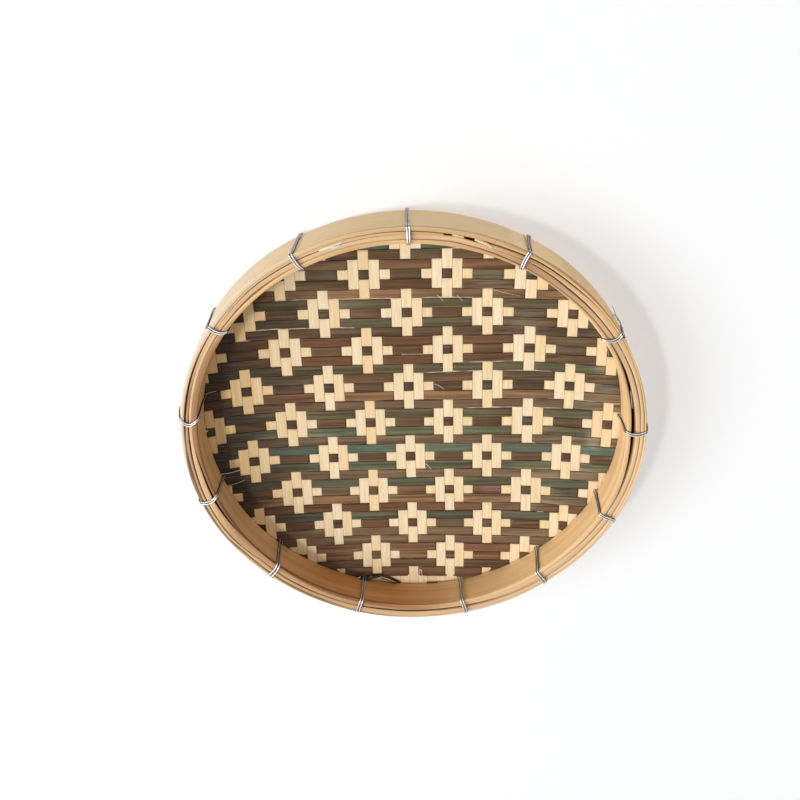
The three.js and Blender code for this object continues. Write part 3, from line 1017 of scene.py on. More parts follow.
def droop(x, z):
    """How far the weave hangs out of square, to the right and upwards: more towards its sides."""
    left = np.clip((-x - 68) / 45, 0, 1.2) ** 2
    right = np.clip((x - 55) / 51, 0, 1.2) ** 1.5
    out = 0.4 - 1.8 * left
    up = -0.25 - 3.6 * left - 2.3 * right
    for *spot, slip_out, slip_up in SLIPS:
        share = 0.5 + 0.5 * np.cos(np.pi * np.clip(away_from(spot, x, z), 0, 1))
        out = out + slip_out * share
        up = up + slip_up * share
    return out, up


# %% [markdown]
# ## The broken splint
#
# The lowest cross splint is torn. What is left of it is whole at the left, then a thin arching sliver
# whose end is ragged.

# %% Broken splint
# The sliver's middle line, x and z
SLIVER = [
    (-44, -111.5), (-38, -112.0), (-34.6, -111.6), (-27, -108.4), (-21.7, -108.4), (-17, -110.2),
    (-6, -117.0),
]
SLIVER_WIDTH = 2.0
SLIVER_START = -46
SLIVER_FADE = 6  # the length over which the splint narrows


def tear_off(along, across, share, broken_end):
    """Draws a splint back to a ragged end and narrows it to the sliver."""
    ragged = broken_end + 2.5 * share + 1.2 * np.sin(share * 19)
    along = np.minimum(along, ragged)
    torn = np.clip((along - SLIVER_START) / SLIVER_FADE, 0, 1)
    return along, across + (follow(along, SLIVER) + SLIVER_WIDTH * share - across) * torn


# %% [markdown]
# ## Bending a copy to its place
#
# `lay_splint` copies a blank and moves all its points at once. Past the edge of the mat a splint turns up
# between the hoops. Its points go round a small corner and up the slot, each at the angle where it left
# the circle. Points past the trimmed end are drawn back to it, and those that meet there are merged.

# %% Laying one splint
SIDE_MARGIN = 0.2  # keeps the outermost splints' points within the circle
LONGEST_END = 24.0  # past the edge of the mat, where a splint crosses it at a slant
EDGE_FADE = 6  # the weave flattens within this distance of the edge
SEEN_CLIMB = 4  # how far up the slot a turned up end can be seen


def between_seams(family, number, middle, pitch, along, share):
    """Where points lie across the mat: a splint fills the space between its two seams."""
    before, after = (number - 1, number) if family == "warp" else (number, number - 1)
    low_stray, low_gap = seam(family, before, along)
    high_stray, high_gap = seam(family, after, along)
    low_edge = middle - pitch / 2 + low_stray + low_gap
    high_edge = middle + pitch / 2 + high_stray - high_gap
    return low_edge + (share + 0.5) * (high_edge - low_edge)


def lay_splint(family, number, middle, fronts, trim, broken_end=None):
    """One splint of the mat, woven, sagging and turned up at both ends."""
    upright = family == "warp"
    cell, pitch = (WEFT_PITCH, WARP_PITCH) if upright else (WARP_PITCH, WEFT_PITCH)
    pick(warp_blank if upright else weft_blank)
    bpy.ops.object.duplicate()
    splint = bpy.context.object
    points = read_points(splint)
    cells = points[:, 0] / cell - BLANK_LEAD
    thick = points[:, 1]
    share = points[:, 2] / pitch  # -0.5 to 0.5 across the splint, towards +Z or +X
    along = WEFT_TOP - cells * cell if upright else WARP_MIDDLE_X + (cells - MIDDLE_WARP) * cell
    across = between_seams(family, number, middle, pitch, along, share)
    out, up = droop(across, along) if upright else droop(along, across)
    along, across = (along + up, across + out) if upright else (along + out, across + up)

    # Past the edge of the mat the rest of the length goes up the slot
    flat_radius = WALL_RADIUS - CORNER_RADIUS
    held = np.clip(across, -flat_radius + SIDE_MARGIN, flat_radius - SIDE_MARGIN)
    edge_along = np.sqrt(flat_radius**2 - held**2)
    beyond = np.abs(along) - edge_along
    steepness = edge_along / flat_radius
    corner_length = CORNER_RADIUS * math.pi / 2
    top_length = corner_length + MAT_MIDDLE - CORNER_RADIUS - trim
    longest = np.minimum(LONGEST_END, top_length / steepness)
    climb = np.clip(beyond, 0, longest) * steepness
    if broken_end is not None:
        along, across = tear_off(along, across, share, broken_end)
        climb = np.where(along > 0, 0, climb)
    inside = np.where(beyond > 0, edge_along * np.sign(along), along)

    # Height in front of the mat's middle, and its direction round the corner
    far = np.hypot(inside, held)
    lying = WEAVE_HEIGHT * (-1 if upright else 1) + thick
    woven = splint_height(cells, fronts) + thick
    height = lying + (woven - lying) * np.clip((flat_radius - far) / EDGE_FADE, 0, 1)
    turn = np.clip(climb / CORNER_RADIUS, 0, math.pi / 2)
    up = np.clip(climb - corner_length, 0, None)
    radial = CORNER_RADIUS * np.sin(turn) - height * np.sin(turn) + RIM_TAPER * up
    sag = MAT_SAG * np.clip(1 - (inside**2 + across**2) / foot_radius**2, 0, 1)
    depth = MAT_MIDDLE + sag - CORNER_RADIUS * (1 - np.cos(turn)) - up - height * np.cos(turn)
    out_along = inside * (1 + radial / far)
    out_across = np.where(beyond > 0, held, across) * (1 + radial / far)
    x, z = (out_across, out_along) if upright else (out_along, out_across)
    strayed = 1 + wander(np.degrees(np.arctan2(z, x))) / WALL_RADIUS
    write_points(splint, *to_row(x * strayed, depth, z * strayed))
    paint_number(splint, "across", share)
    # Painted shade: past the first few millimetres up the slot the splint lies between the layers and is
    # painted dark
    paint_number(splint, "painted_shade", np.clip(climb - SEEN_CLIMB, 0, 1))

    # Points that were drawn back to the same place become one, and the open ends are filled
    open_edit(splint)
    bpy.ops.mesh.select_all(action="SELECT")
    bpy.ops.mesh.remove_doubles(threshold=2e-6)
    close_holes(splint)
    close_edit()
    paint_number(splint, "strip", number * 1.37 + 50 * upright)
    return splint


# %% Upright splints
TRIM_RANGE = (2.2, 3.6)  # how far behind the lip a splint's ends are cut
# Painted shade on the uprights starts here and deepens over this reach towards the left
LEFT_SHADE_FROM = -60
LEFT_SHADE_REACH = 40
trims = random.Random(7)
for number in range(WARP_COUNT):
    middle = WARP_MIDDLE_X + (number - MIDDLE_WARP) * WARP_PITCH
    fronts = [upright_in_front(number, weft) for weft in range(WEFT_COUNT)]
    splint = lay_splint("warp", number, middle, fronts, trims.uniform(*TRIM_RANGE))
    splint.name = f"upright_splint_{number + 1:02d}"
    x, depth, z = measure(splint)
    # Painted shade: warmer and darker towards the left
    paint_number(splint, "left_shade", np.clip((LEFT_SHADE_FROM - x) / LEFT_SHADE_REACH, 0, 1))
    finish_piece(splint, natural_material, ["warp_mat"])
print("uprights laid:", WARP_COUNT)

# %% [markdown]
# ## Dyes
#
# The order of the dyes was read off the mat from top to bottom. Greens alternate with browns in places,
# and the last splint is nearly black. The colours are what the dyed bamboo shows in plain light.

# %% Dye colours and their order
DYES = {
    "dark": srgb(98, 76, 58),
    "brown": srgb(110, 80, 56),
    "russet": srgb(116, 78, 52),
    "rust": srgb(130, 92, 64),
    "honey": srgb(150, 112, 78),
    "tan": srgb(134, 108, 80),
    "olive": srgb(102, 94, 68),
    "moss": srgb(96, 101, 78),
    "teal": srgb(92, 116, 98),
    "green": srgb(62, 104, 84),
    "black": srgb(52, 42, 36),
}
DYE_ORDER = (
    "green green brown rust olive brown honey olive brown olive "
    "dark russet brown russet olive brown dark honey tan olive "
    "brown moss tan teal brown moss tan moss rust honey "
    "russet moss russet tan tan rust honey dark russet black"
).split()
DYE_DRIFTS = ["olive", "brown", "moss", "dark", "russet", "dark"]
print("dyes:", len(DYES), "for", len(DYE_ORDER), "splints")

# %% [markdown]
# ## Depth of the dye, and painted shade and sheen
#
# A splint's own colour isn't enough. The dye is deeper in some lengths than in others, and edges and rubbed
# places show pale bamboo. Painted shade darkens the mat towards the left and the small squares in the middle
# of each figure, and painted sheen lightens it towards the right and in some of the paler places. Tables say
# where, and three functions paint it on the points.

# %% Dye tables
DYE_SPANS = (70.0, 110.0, 190.0)
FRAY_SPANS = (7.0, 11.0, 23.0)

# Painted shade at the left and painted sheen at the right: x, and what red, green and blue turn to
PAINTED_SHADE_AND_SHEEN = [
    (-98, 0.25, 0.235, 0.28),
    (-66, 0.87, 0.82, 0.83),
    (-40, 1.0, 1.0, 1.0),
    (45, 1.0, 1.0, 1.0),
    (66, 0.94, 1.03, 1.07),
    (98, 0.96, 1.18, 1.33),
]
EYE_SHADE = 0.72  # painted shade on the small squares in the middle of each figure

# Lengths of a splint that took more or less dye: the splint, middle and reach in x, and how light it is,
# or what red, green and blue turn to where its colour changes too
DYE_PATCHES = [
    (4, -66, 30, 0.68),
    (7, -66, 24, 0.78),
    (8, -66, 28, 0.72),
    (8, 66, 26, (0.8, 1.0, 1.1)),
    (9, -66, 28, 0.64),
    (9, 66, 26, (1.12, 0.83, 0.65)),
    (10, 66, 26, 0.82),
    (11, 84, 38, (0.9, 1.2, 1.25)),
    (12, 90, 34, (0.78, 0.95, 1.05)),
    (13, 66, 24, (1.25, 1.45, 1.5)),
    (13, 98, 20, (0.86, 0.95, 1.1)),
    (14, 66, 24, 0.82),
    (15, 66, 26, 0.8),
    (16, 66, 22, 0.48),
    (16, 100, 14, (1.8, 2.3, 2.6)),
    (17, 98, 22, (1.1, 1.28, 1.32)),
    (18, -30, 60, 0.72),
    (19, -66, 26, 1.35),
    (19, 66, 26, (0.75, 0.6, 0.56)),
    (20, 66, 26, (0.44, 0.36, 0.28)),
    (21, -66, 26, 1.7),
    (21, 10, 40, 1.2),
    (21, 72, 32, (1.2, 0.8, 0.75)),
    (23, 0, 50, 1.45),
    (25, 80, 34, (2.15, 1.85, 1.7)),
    (26, 88, 34, 1.35),
    (27, 66, 26, (1.35, 1.08, 1.1)),
    (28, 45, 8, (1.5, 1.35, 2.5)),
    (28, 66, 22, (1.0, 1.38, 1.55)),
    (28, 98, 20, (0.47, 0.65, 0.8)),
    (29, -60, 30, 1.6),
    (29, 0, 40, 1.2),
    (29, 84, 34, (0.86, 1.1, 1.25)),
    (31, -66, 30, 0.64),
    (31, 20, 60, 0.74),
    (32, -66, 26, 0.58),
    (33, 66, 26, 1.3),
    (34, 66, 20, 0.82),
    (35, -66, 24, 0.76),
    (35, 66, 24, 1.35),
    (36, -62, 24, 0.62),
]

# Pale frayed edges: the splint above the seam, and from where to where in x
FRAYED_SEAMS = [
    (1, 22, 29),
    (6, -63, -9),
    (6, 7, 33),
    (9, -81, -30),
    (10, -93, -85),
    (12, -5, 7),
    (13, 27, 55),
    (14, 7, 75),
    (17, 73, 101),
    (18, 29, 84),
    (22, 64, 69),
    (30, 71, 75),
]

# Pale places on the dyed splints, partly rubbed and partly painted sheen: middle in x and z, reach in x and
# z, and strength
SCUFFS_AND_SHEEN = [
    (105, 32, 8, 4, 0.9),
    (101, -13, 5, 9, 0.9),
    (60, 60, 12, 5, 0.4),
    (45, 84, 14, 5, 0.4),
    (70, -2, 14, 6, 0.3),
    (-40, 72, 20, 4, 0.25),
    (62, -58, 20, 5, 0.35),
]


# %% Painting the dye
# Paints the paler places, partly scuffs and partly painted sheen
def paint_scuffs_and_sheen(splint):
    x, depth, z = measure(splint)
    total = sum(strength * np.clip(1.3 - away_from(spot, x, z), 0, 1) for *spot, strength in SCUFFS_AND_SHEEN)
    paint_number(splint, "scuff_and_sheen", np.clip(total, 0, 1))


def paint_frayed(splint, number):
    """Marks the lower edge of a splint where its pale inner side shows."""
    x, depth, z = measure(splint)
    across = np.zeros(len(x))
    splint.data.attributes["across"].data.foreach_get("value", across)
    patchy = np.clip(0.75 + 0.5 * drift(x, f"fray {number}", FRAY_SPANS), 0, 1)
    lengths = [(x > first) * (x < last) for above, first, last in FRAYED_SEAMS if above == number]
    paint_number(splint, "frayed", patchy * sum(lengths) * (across < 0))


def paint_dye(splint, number, fronts):
    """The splint's own dye, drifting towards another along its length, with painted shade and sheen."""
    chance = random.Random(f"dye {number}")
    own = np.array(DYES[DYE_ORDER[number]])
    other = np.array(DYES[chance.choice(DYE_DRIFTS)])
    x, depth, z = measure(splint)
    share = np.clip(0.1 + 0.6 * drift(x, f"dye {number}", DYE_SPANS), 0, 0.5)[:, None]
    colours = own * (1 - share) + other * share
    # Painted shade towards the left and painted sheen towards the right
    for channel in range(3):
        colours[:, channel] *= follow(x, PAINTED_SHADE_AND_SHEEN, 1 + channel)
    for splint_number, patch_x, reach, change in DYE_PATCHES:
        if splint_number == number:
            share = np.clip(2 - 2 * np.abs(x - patch_x) / reach, 0, 1)[:, None]
            colours[:, :3] *= 1 + (np.array(change) - 1) * share
    # Painted shade on the small squares in the middle of each figure
    warp = np.clip(np.round((x - WARP_MIDDLE_X) / WARP_PITCH + MIDDLE_WARP), 1, WARP_COUNT - 2).astype(int)
    in_eye = np.array([fronts[k] and not fronts[k - 1] and not fronts[k + 1] for k in warp])
    colours[:, :3] *= np.where(in_eye, EYE_SHADE, 1)[:, None]
    paint_colour(splint, "dye", colours)


# %% Cross splints
for number in range(WEFT_COUNT):
    node = f"weft_splint_{number + 1:02d}"
    middle = WEFT_TOP - number * WEFT_PITCH
    fronts = [not upright_in_front(warp, number) for warp in range(WARP_COUNT)]
    broken_end = weft_boxes[-1][1][0] / MM if number == WEFT_COUNT - 1 else None
    splint = lay_splint("weft", number, middle, fronts, trims.uniform(*TRIM_RANGE), broken_end)
    splint.name = f"cross_splint_{number + 1:02d}"
    paint_dye(splint, number, fronts)
    paint_scuffs_and_sheen(splint)
    paint_frayed(splint, number)
    finish_piece(splint, dyed_material, [node])
for blank in (weft_blank, warp_blank):
    bpy.data.objects.remove(blank)
print("cross splints laid:", WEFT_COUNT)

# %% [markdown]
# ## Wire ties
#
# Each tie is one wire wound twice round the rim. It comes from behind the mat, goes round the back edge
# and over the lip, down through the mat and round once more. A curve with a round bevel follows the same
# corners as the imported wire, and is then turned into a mesh.

# %% Wire routes
WIRE_DIAMETER = 0.82
HOLE_GAP = 0.6
SPLAY = 1.15  # the two strands spread over the lip
DRAWN = 0.8  # and are drawn together down the inner hoop
END_LENGTH = 7.0

# Where each tie is, in degrees: at the back edge, at the lip's outer edge, in the middle of the lip,
# at its inner edge and at the inner hoop's foot. Last, how far apart its two strands lie, in millimetres
TIES = [
    (90.1, 89.8, 89.7, 89.6, 89.9, 1.1),
    (116.0, 117.5, 117.5, 116.9, 116.8, 1.1),
    (146.0, 145.2, 145.2, 143.8, 143.5, 1.1),
    (168.5, 171.4, 174.0, 172.2, 169.5, 1.05),
    (196.0, 198.2, 198.8, 197.4, 197.6, 1.15),
    (229.0, 227.8, 227.4, 226.8, 225.9, 1.6),
    (253.5, 253.8, 253.8, 253.9, 254.2, 1.35),
    (283.4, 283.4, 283.4, 283.3, 282.8, 1.35),
    (306.5, 306.8, 307.0, 307.2, 308.4, 1.25),
    (333.2, 333.4, 333.6, 333.9, 334.8, 1.05),
    (364.0, 362.0, 360.9, 361.8, 361.2, 1.1),
    (386.2, 390.5, 389.8, 391.5, 392.5, 1.1),
    (420.5, 421.4, 421.4, 421.1, 420.6, 1.1),
]
STAND_OFF = CLEARANCE + WIRE_DIAMETER / 2
mat_back = MAT_MIDDLE + 0.65


def rim_place(radius, depth, degrees, shift):
    """A place in the rim's section at one angle, shifted along the rim."""
    theta = math.radians(degrees)
    strayed = radius + float(wander(degrees))
    x = strayed * math.cos(theta) - shift * math.sin(theta)
    z = strayed * math.sin(theta) + shift * math.cos(theta)
    return to_row(x, depth, z)


def bend_points(radius, depth, first, last, stand_off):
    """Three places on an arc about a corner of the rim's section."""
    for degrees in (first, (first + last) / 2, last):
        theta = math.radians(degrees)
        yield radius + stand_off * math.cos(theta), depth + stand_off * math.sin(theta)


def tie_route(angles, number):
    """The places that a tie's wire passes: a tail, two turns round the rim, and the other tail."""
    back, lip_out, lip_middle, lip_in, foot, apart = angles
    chance = random.Random(f"tie {number}")
    hoop_outer, hoop_inner = layers["outer_hoop"]
    face = layers["inner_hoop"][1] + float(inner_hoop_stray(lip_in))
    hand = 1 if foot > back else -1
    snug = WIRE_DIAMETER / 2 + 0.05
    outer_back = hoop_outer - RIM_TAPER * HOOP_DEPTH
    inner_back = hoop_inner - RIM_TAPER * HOOP_DEPTH
    half = FOOT_DEPTH / 2
    hole = face - RIM_TAPER * mat_back - STAND_OFF - HOLE_GAP
    end_depth = mat_back + STAND_OFF + 0.3
    route = []

    def go(places, bearings, turn):
        for (radius, depth), degrees in zip(places, bearings):
            loose = chance.uniform(-0.05, 0.05)
            route.append(rim_place(radius, depth, degrees, hand * turn * apart + loose))

    def between(first, second, share):
        return first + (second - first) * share

    go([(hole - END_LENGTH, end_depth), (hole - STAND_OFF, end_depth)], [foot] * 2, -1.5)
    over_out = [between(lip_out, back, 0.25), lip_out, between(lip_out, lip_middle, 0.45)]
    over_in = [between(lip_in, lip_middle, 0.45), lip_in, between(lip_in, foot, 0.25)]
    for turn in (-0.5, 0.5):
        go([(inner_back - CLEARANCE, HOOP_DEPTH + STAND_OFF)], [back], turn)
        go(bend_points(outer_back, HOOP_DEPTH, 90, 0, STAND_OFF), [back] * 3, turn)
        go([(hoop_outer - RIM_TAPER * half + snug + 0.1, half)], [between(back, lip_out, 0.55)], turn)
        go(bend_points(hoop_outer - 0.2, 0.6, 0, -90, snug + 0.2), over_out, turn * SPLAY)
        go([((hoop_outer + face) / 2, -snug)], [lip_middle], turn * SPLAY)
        go(bend_points(face + 1.3, 1.3, -90, -180, 2.0), over_in, turn)
        go([(face - RIM_TAPER * half - snug, half)], [between(lip_in, foot, 0.6)], turn * DRAWN)
        if turn < 0:
            go(bend_points(hole + STAND_OFF, mat_back, 180, 110, STAND_OFF), [foot] * 3, turn)
    leave = [(hole, mat_back - STAND_OFF), (hole - STAND_OFF, end_depth), (hole - END_LENGTH, end_depth)]
    go(leave, [foot] * 3, 0.5)
    return route


# %% Wire as a curve
WIRE_SIDES = 8  # of the round section at a bevel resolution of 2
WIRE_SMOOTH = 60  # degrees
BACK_CREST = 0.65  # behind the mat the wire's sides get less grime and painted shade


def wire_piece(name, route, diameter):
    """A wire as a mesh: a smooth curve through its places with a round section."""
    curve = bpy.data.curves.new(name, "CURVE")
    curve.dimensions = "3D"
    curve.bevel_depth = diameter * MM / 2
    curve.bevel_resolution = 2
    curve.use_fill_caps = True
    curve.resolution_u = 3
    spline = curve.splines.new("BEZIER")
    spline.bezier_points.add(len(route) - 1)
    for point, place in zip(spline.bezier_points, route):
        point.co = place
        point.handle_left_type = "AUTO"
        point.handle_right_type = "AUTO"
    piece = bpy.data.objects.new(name, curve)
    bpy.context.collection.objects.link(piece)
    pick(piece)
    bpy.ops.object.convert(target="MESH")
    return bpy.context.object


def paint_crest(tie):
    """1 along the line of a tie that stands farthest off the rim, less towards its sides."""
    points = read_points(tie)
    centres = points.reshape(-1, WIRE_SIDES, 3).mean(1).repeat(WIRE_SIDES, 0)
    x, y, z = centres.T - np.array([[0], [LIP_Y], [CENTRE_Z]])
    radius = np.hypot(x, z)
    at_lip = (radius + RIM_TAPER * y) / MM
    out_radius = at_lip - np.clip(at_lip, layers["inner_hoop"][1], layers["outer_hoop"][0])
    out_depth = y / MM - np.clip(y / MM, 0, HOOP_DEPTH)
    off = points - centres
    off_radius = (off[:, 0] * x + off[:, 2] * z) / radius
    lengths = np.hypot(out_radius, out_depth) * np.linalg.norm(off, axis=1)
    crest = (off_radius * out_radius + off[:, 1] * out_depth) / np.maximum(lengths, 1e-9)
    paint_number(tie, "crest", np.where(y / MM > mat_back, np.maximum(crest, BACK_CREST), crest))


for number, angles in enumerate(TIES):
    node = f"wire_tie_{number + 1:02d}"
    tie = wire_piece("wound_" + node, tie_route(angles, number), WIRE_DIAMETER)
    paint_crest(tie)
    finish_piece(tie, wire_material, [node], WIRE_SMOOTH)
print("ties wound:", len(TIES))

# %% [markdown]
# ## Stray ends of wire
#
# Whoever bound the rim left a few ends of wire untrimmed. Each is a short curve through three or more
# places, given as x, depth and z, with its own thickness.

# %% Ends of wire that were never trimmed
STRAY_ENDS = [
    (
        "hooked_end",
        [
            (103.7, 7.5, 69.0), (104.0, 8.5, 70.0), (105.0, 9, 69.7), (107.3, 12, 66), (109.3, 15, 62.1),
            (110.3, 16.5, 58.8),
        ],
        0.7,
    ),
    ("thin_end", [(104.4, 13, 72.7), (105.5, 13, 69.9), (106.5, 13, 67.4), (107.9, 14, 63.8)], 0.35),
    ("curled_end", [(103.2, 15, 48.2), (104.1, 16.4, 45.1), (104.8, 17.4, 41.9), (105.2, 18, 39.3)], 0.5),
    ("flat_end", [(58.1, 20, 110.7), (58.9, 15, 110.2), (59.5, 9, 110.2), (59.8, 3, 110.5)], 0.4),
    (
        "bright_end",
        [(-36.4, 18.4, -110.6), (-35.0, 17.4, -109.3), (-33.8, 17.6, -108.9), (-33.2, 18.6, -109.8)],
        0.9,
    ),
]
for name, places, diameter in STRAY_ENDS:
    end = wire_piece("wire_" + name, [to_row(*place) for place in places], diameter)
    paint_number(end, "crest", 0.6)
    finish_piece(end, wire_material, [], WIRE_SMOOTH)
print("stray ends laid:", len(STRAY_ENDS))

# %% [markdown]
# ## Loose fibres
#
# Slivers that came off when the splints were split still lie on the mat and in the rim. They are thin wires
# of bamboo, laid where the photograph shows them. The pale ones share the dyed splints' material, whose
# frayed colour they take, and the black ones are torn strands of the last dyed splint. Two of the black ones
# lie in dark gaps at the mat's edge instead, as painted shade.

# %% Loose fibres
LOOSE_FIBRES = [
    (
        "arch",
        [(1.2, 18.4, -110.2), (1.8, 17.0, -105.6), (2.4, 16.4, -102.4), (3.4, 17.2, -104.7)],
        0.35,
        "pale",
    ),
    ("arch_end", [(2.6, 16.6, -102.6), (3.2, 17.0, -106.0), (4.0, 18.2, -110.4)], 0.3, "pale"),
    ("scratch_middle", [(12.7, 21.0, 23.0), (15.0, 20.7, 21.9), (17.5, 21.0, 19.7)], 0.25, "pale"),
    ("scratch_low", [(7.0, 21.0, -29.6), (8.6, 20.7, -31.2), (9.8, 20.9, -33.1)], 0.3, "pale"),
    ("scratch_high", [(14.3, 19.7, 77.6), (16.0, 19.5, 76.2), (17.4, 19.8, 74.0)], 0.25, "pale"),
    ("scratch_right", [(24.7, 19.6, 77.4), (26.5, 19.4, 75.3), (27.8, 19.7, 73.8)], 0.25, "pale"),
    ("hair_high", [(43.8, 19.3, 80.1), (50.5, 19.0, 78.3), (57.2, 19.1, 76.5)], 0.16, "straw"),
    ("hair_left", [(-114.0, 17.4, 20.5), (-110.5, 17.7, 21.6), (-106.5, 18.5, 22.2)], 0.2, "straw"),
    ("hair_low_left", [(-109.3, 17.8, -32.4), (-104.0, 18.0, -31.8), (-98.4, 18.7, -30.3)], 0.4, "pale"),
    ("hair_lowest_left", [(-107.1, 18.0, -40.8), (-101.5, 18.1, -39.3), (-96.2, 18.7, -37.2)], 0.25, "straw"),
    ("speck_left", [(-115.6, 17.6, -4.2), (-114.3, 17.4, -3.2), (-113.4, 17.6, -2.6)], 0.7, "pale"),
    # painted shade: a black strand laid along a dark gap
    ("painted_shade_gap_left", [(-114.8, 17.9, 8.0), (-114.8, 17.9, 4.0), (-114.9, 17.9, 0.8)], 0.7, "black"),
    ("strand_right", [(108.4, 18.3, 10.0), (110.6, 18.0, 10.4), (113.0, 18.2, 10.2)], 0.45, "straw"),
    ("torn_strand", [(22.0, 0.9, 119.8), (24.6, 0.5, 119.2), (27.6, 0.6, 118.4)], 0.9, "straw"),
    (
        "torn_flake",
        [(33.0, 0.6, 117.3), (36.0, 0.2, 116.2), (38.6, 0.2, 115.0), (41.4, 0.7, 112.9)],
        1.5,
        "straw",
    ),
    (
        "torn_flap",
        [(-32.0, 0.6, 117.0), (-35.5, 0.0, 115.9), (-39.5, 0.0, 114.4), (-43.4, 0.6, 112.9)],
        1.2,
        "pale",
    ),
    ("torn_curl", [(-33.2, 0.6, 115.2), (-35.4, 0.1, 114.6), (-37.6, 0.2, 114.6)], 1.2, "pale"),
    ("gap_sliver", [(115.2, 1.8, 28.4), (116.0, 0.9, 23.2), (116.6, 1.2, 18.0)], 0.4, "pale"),
    ("sliver_low", [(-21.2, 17.9, -109.9), (-16.3, 17.6, -112.0), (-11.5, 17.8, -115.3)], 0.5, "black"),
    ("sliver_high", [(-36.4, 18.2, -108.0), (-32.0, 17.9, -106.9), (-27.2, 17.8, -107.4)], 0.5, "black"),
    (
        "sliver_left",
        [(-34.2, 17.8, -109.3), (-29.6, 17.3, -110.2), (-25.2, 17.4, -108.9), (-21.0, 17.8, -107.8)],
        1.5,
        "black",
    ),
    # painted shade: a black strand laid along a dark gap
    ("painted_shade_gap_low", [(6.0, 18.4, -114.4), (9.2, 18.4, -114.6), (12.6, 18.4, -114.2)], 0.7, "black"),
]
for name, places, diameter, look in LOOSE_FIBRES:
    strand = wire_piece("fibre_" + name, [to_row(*place) for place in places], diameter)
    paint_number(strand, "across", 0.48 if look == "pale" else 0.0)
    paint_number(strand, "frayed", 1.0 if look == "pale" else 0.0)
    if look == "black":
        paint_colour(strand, "dye", np.tile(DYES["black"], len(strand.data.vertices)))
    straw = look == "straw"
    material, slot = (natural_material, "natural_splint") if straw else (dyed_material, "dyed_splint")
    finish_piece(strand, material, [], WIRE_SMOOTH)
print("loose fibres laid:", len(LOOSE_FIBRES))

# %% [markdown]
# ## Wall and floor
#
# The tray hangs on a white wall over a pale floor. Seen from behind, the wall would hide the tray, so its
# back face is clear, and it lets light through to the tray's back. A glow that only the camera and shiny
# things see lifts both, so that the lamps can stay low.

# %% Wall and floor
WALL_COLOUR = (0.448, 0.49, 0.505, 1)
GLOW_COLOUR = (1.09, 1.0, 0.972, 1)  # the shadow on the wall is a little warmer than the wall
WALL_GLOW = 0.485
FLOOR_GLOW = 0.7
WALL_SIZE = 6.0
WALL_Y = 0.0003  # a hair behind the outer hoop
FLOOR_Z = -2.6


def seen_rays(tree, path):
    """1 where the camera looks straight at something, or sees it in metal or through glass."""
    mirrored = maths(tree, "MAXIMUM", path["Is Glossy Ray"], path["Is Transmission Ray"])
    return maths(tree, "MAXIMUM", path["Is Camera Ray"], mirrored)


def pale_material(name, clear_from_behind, brightness):
    material, tree, shader = new_material(name)
    shader.inputs["Base Color"].default_value = WALL_COLOUR
    shader.inputs["Roughness"].default_value = 0.9
    shader.inputs["Specular IOR Level"].default_value = 0.0
    path = add_node(tree, "ShaderNodeLightPath").outputs
    strength = maths(tree, "MULTIPLY", seen_rays(tree, path), brightness)
    glow = add_node(tree, "ShaderNodeEmission", {"Color": GLOW_COLOUR, "Strength": strength})
    surface = add_node(tree, "ShaderNodeAddShader", {0: shader.outputs[0], 1: glow.outputs[0]})
    if clear_from_behind:
        behind = add_node(tree, "ShaderNodeNewGeometry").outputs["Backfacing"]
        share = maths(tree, "MAXIMUM", behind, path["Is Shadow Ray"])
        clear = add_node(tree, "ShaderNodeBsdfTransparent")
        sides = {0: share, 1: surface.outputs[0], 2: clear.outputs[0]}
        surface = add_node(tree, "ShaderNodeMixShader", sides)
    tree.links.new(surface.outputs[0], tree.nodes["Material Output"].inputs["Surface"])
    return material


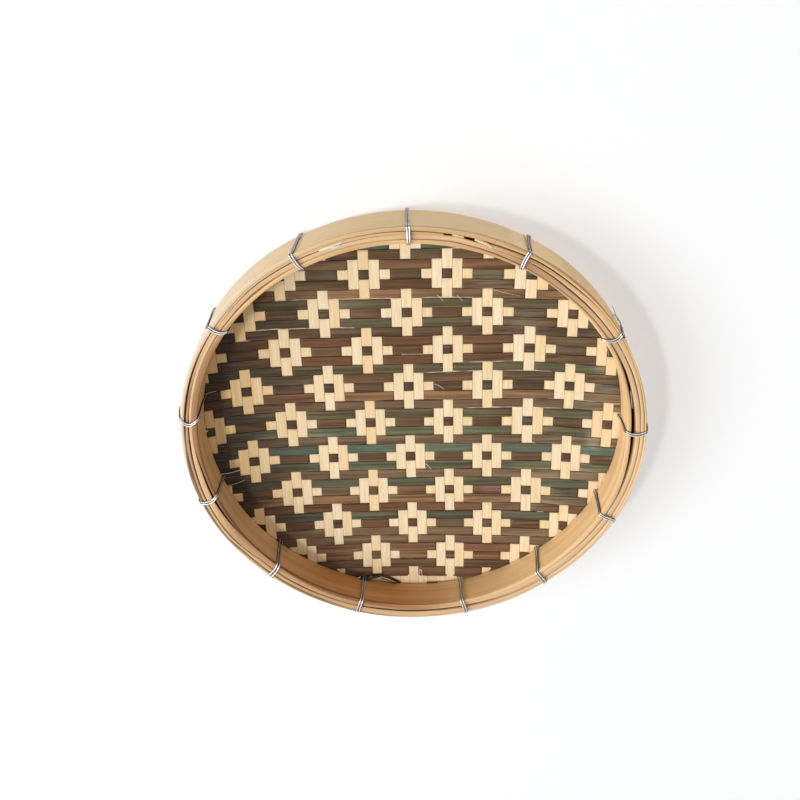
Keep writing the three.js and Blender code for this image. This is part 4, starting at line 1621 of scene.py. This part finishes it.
bpy.ops.mesh.primitive_plane_add(size=WALL_SIZE, location=(0, WALL_Y, 0), rotation=(math.pi / 2, 0, 0))
wall = bpy.context.object
wall.name = "wall"
wall.data.materials.append(pale_material("wall paint", True, WALL_GLOW))
bpy.ops.mesh.primitive_plane_add(size=WALL_SIZE, location=(0, 0, FLOOR_Z))
floor = bpy.context.object
floor.name = "floor"
floor.data.materials.append(pale_material("floor paint", False, FLOOR_GLOW))
print("wall at", WALL_Y, "and floor at", FLOOR_Z)

# %% [markdown]
# ## Light
#
# A window at the left lights the tray. Large lamps side by side make its soft light, and a small one, which
# stands more to the front, draws the clear edge of the shadow on the wall. Weak lamps at the right, above
# and behind stand for the pale room, together with a dim world.

# %% Lamps
# Name, place, width and height in metres, and power in watts
LAMPS = [
    ("window_graze", (-4.7, -1.7, -0.2), (2.2, 2.6), 42),
    ("window_side", (-4.7, -2.6, -0.2), (2.2, 2.6), 116),
    ("window_middle", (-4.3, -4.3, -0.2), (2.9, 3.2), 62),
    ("window_front", (-3.83, -6.15, -0.31), (0.9, 0.9), 178),
    ("window_low", (-4.0, -2.7, -1.8), (2.5, 2.5), 60),
    ("room", (4.7, -4.0, 0.5), (3.6, 3.6), 60),
    ("ceiling", (0.5, -5.8, 3.2), (4.0, 3.6), 30),
    ("ceiling_graze", (0.2, -1.9, 4.4), (2.6, 2.6), 15),
    ("behind", (0.3, 1.2, 0.5), (1.2, 1.2), 12),
]
LAMP_TARGET = Vector((0, -0.01, CENTRE_Z))
for name, place, size, power in LAMPS:
    bpy.ops.object.light_add(type="AREA", location=place)
    lamp = bpy.context.object
    lamp.name = name
    lamp.data.shape = "RECTANGLE"
    lamp.data.size, lamp.data.size_y = size
    lamp.data.energy = power
    lamp.rotation_euler = (LAMP_TARGET - Vector(place)).to_track_quat("-Z", "Y").to_euler()
print("lamps:", len(LAMPS))

# %% World
ROOM_LIGHT = 0.1
ROOM_WHITE = 0.98  # what the camera sees past the wall and the floor

world = bpy.data.worlds.new("pale room")
bpy.context.scene.world = world
world.use_nodes = True
tree = world.node_tree
sky = tree.nodes["Background"]
sky.inputs["Color"].default_value = (1, 1, 1, 1)
seen = seen_rays(tree, add_node(tree, "ShaderNodeLightPath").outputs)
tree.links.new(fit_range(tree, seen, 0, 1, ROOM_LIGHT, ROOM_WHITE), sky.inputs["Strength"])
bpy.context.scene.view_settings.view_transform = "Standard"
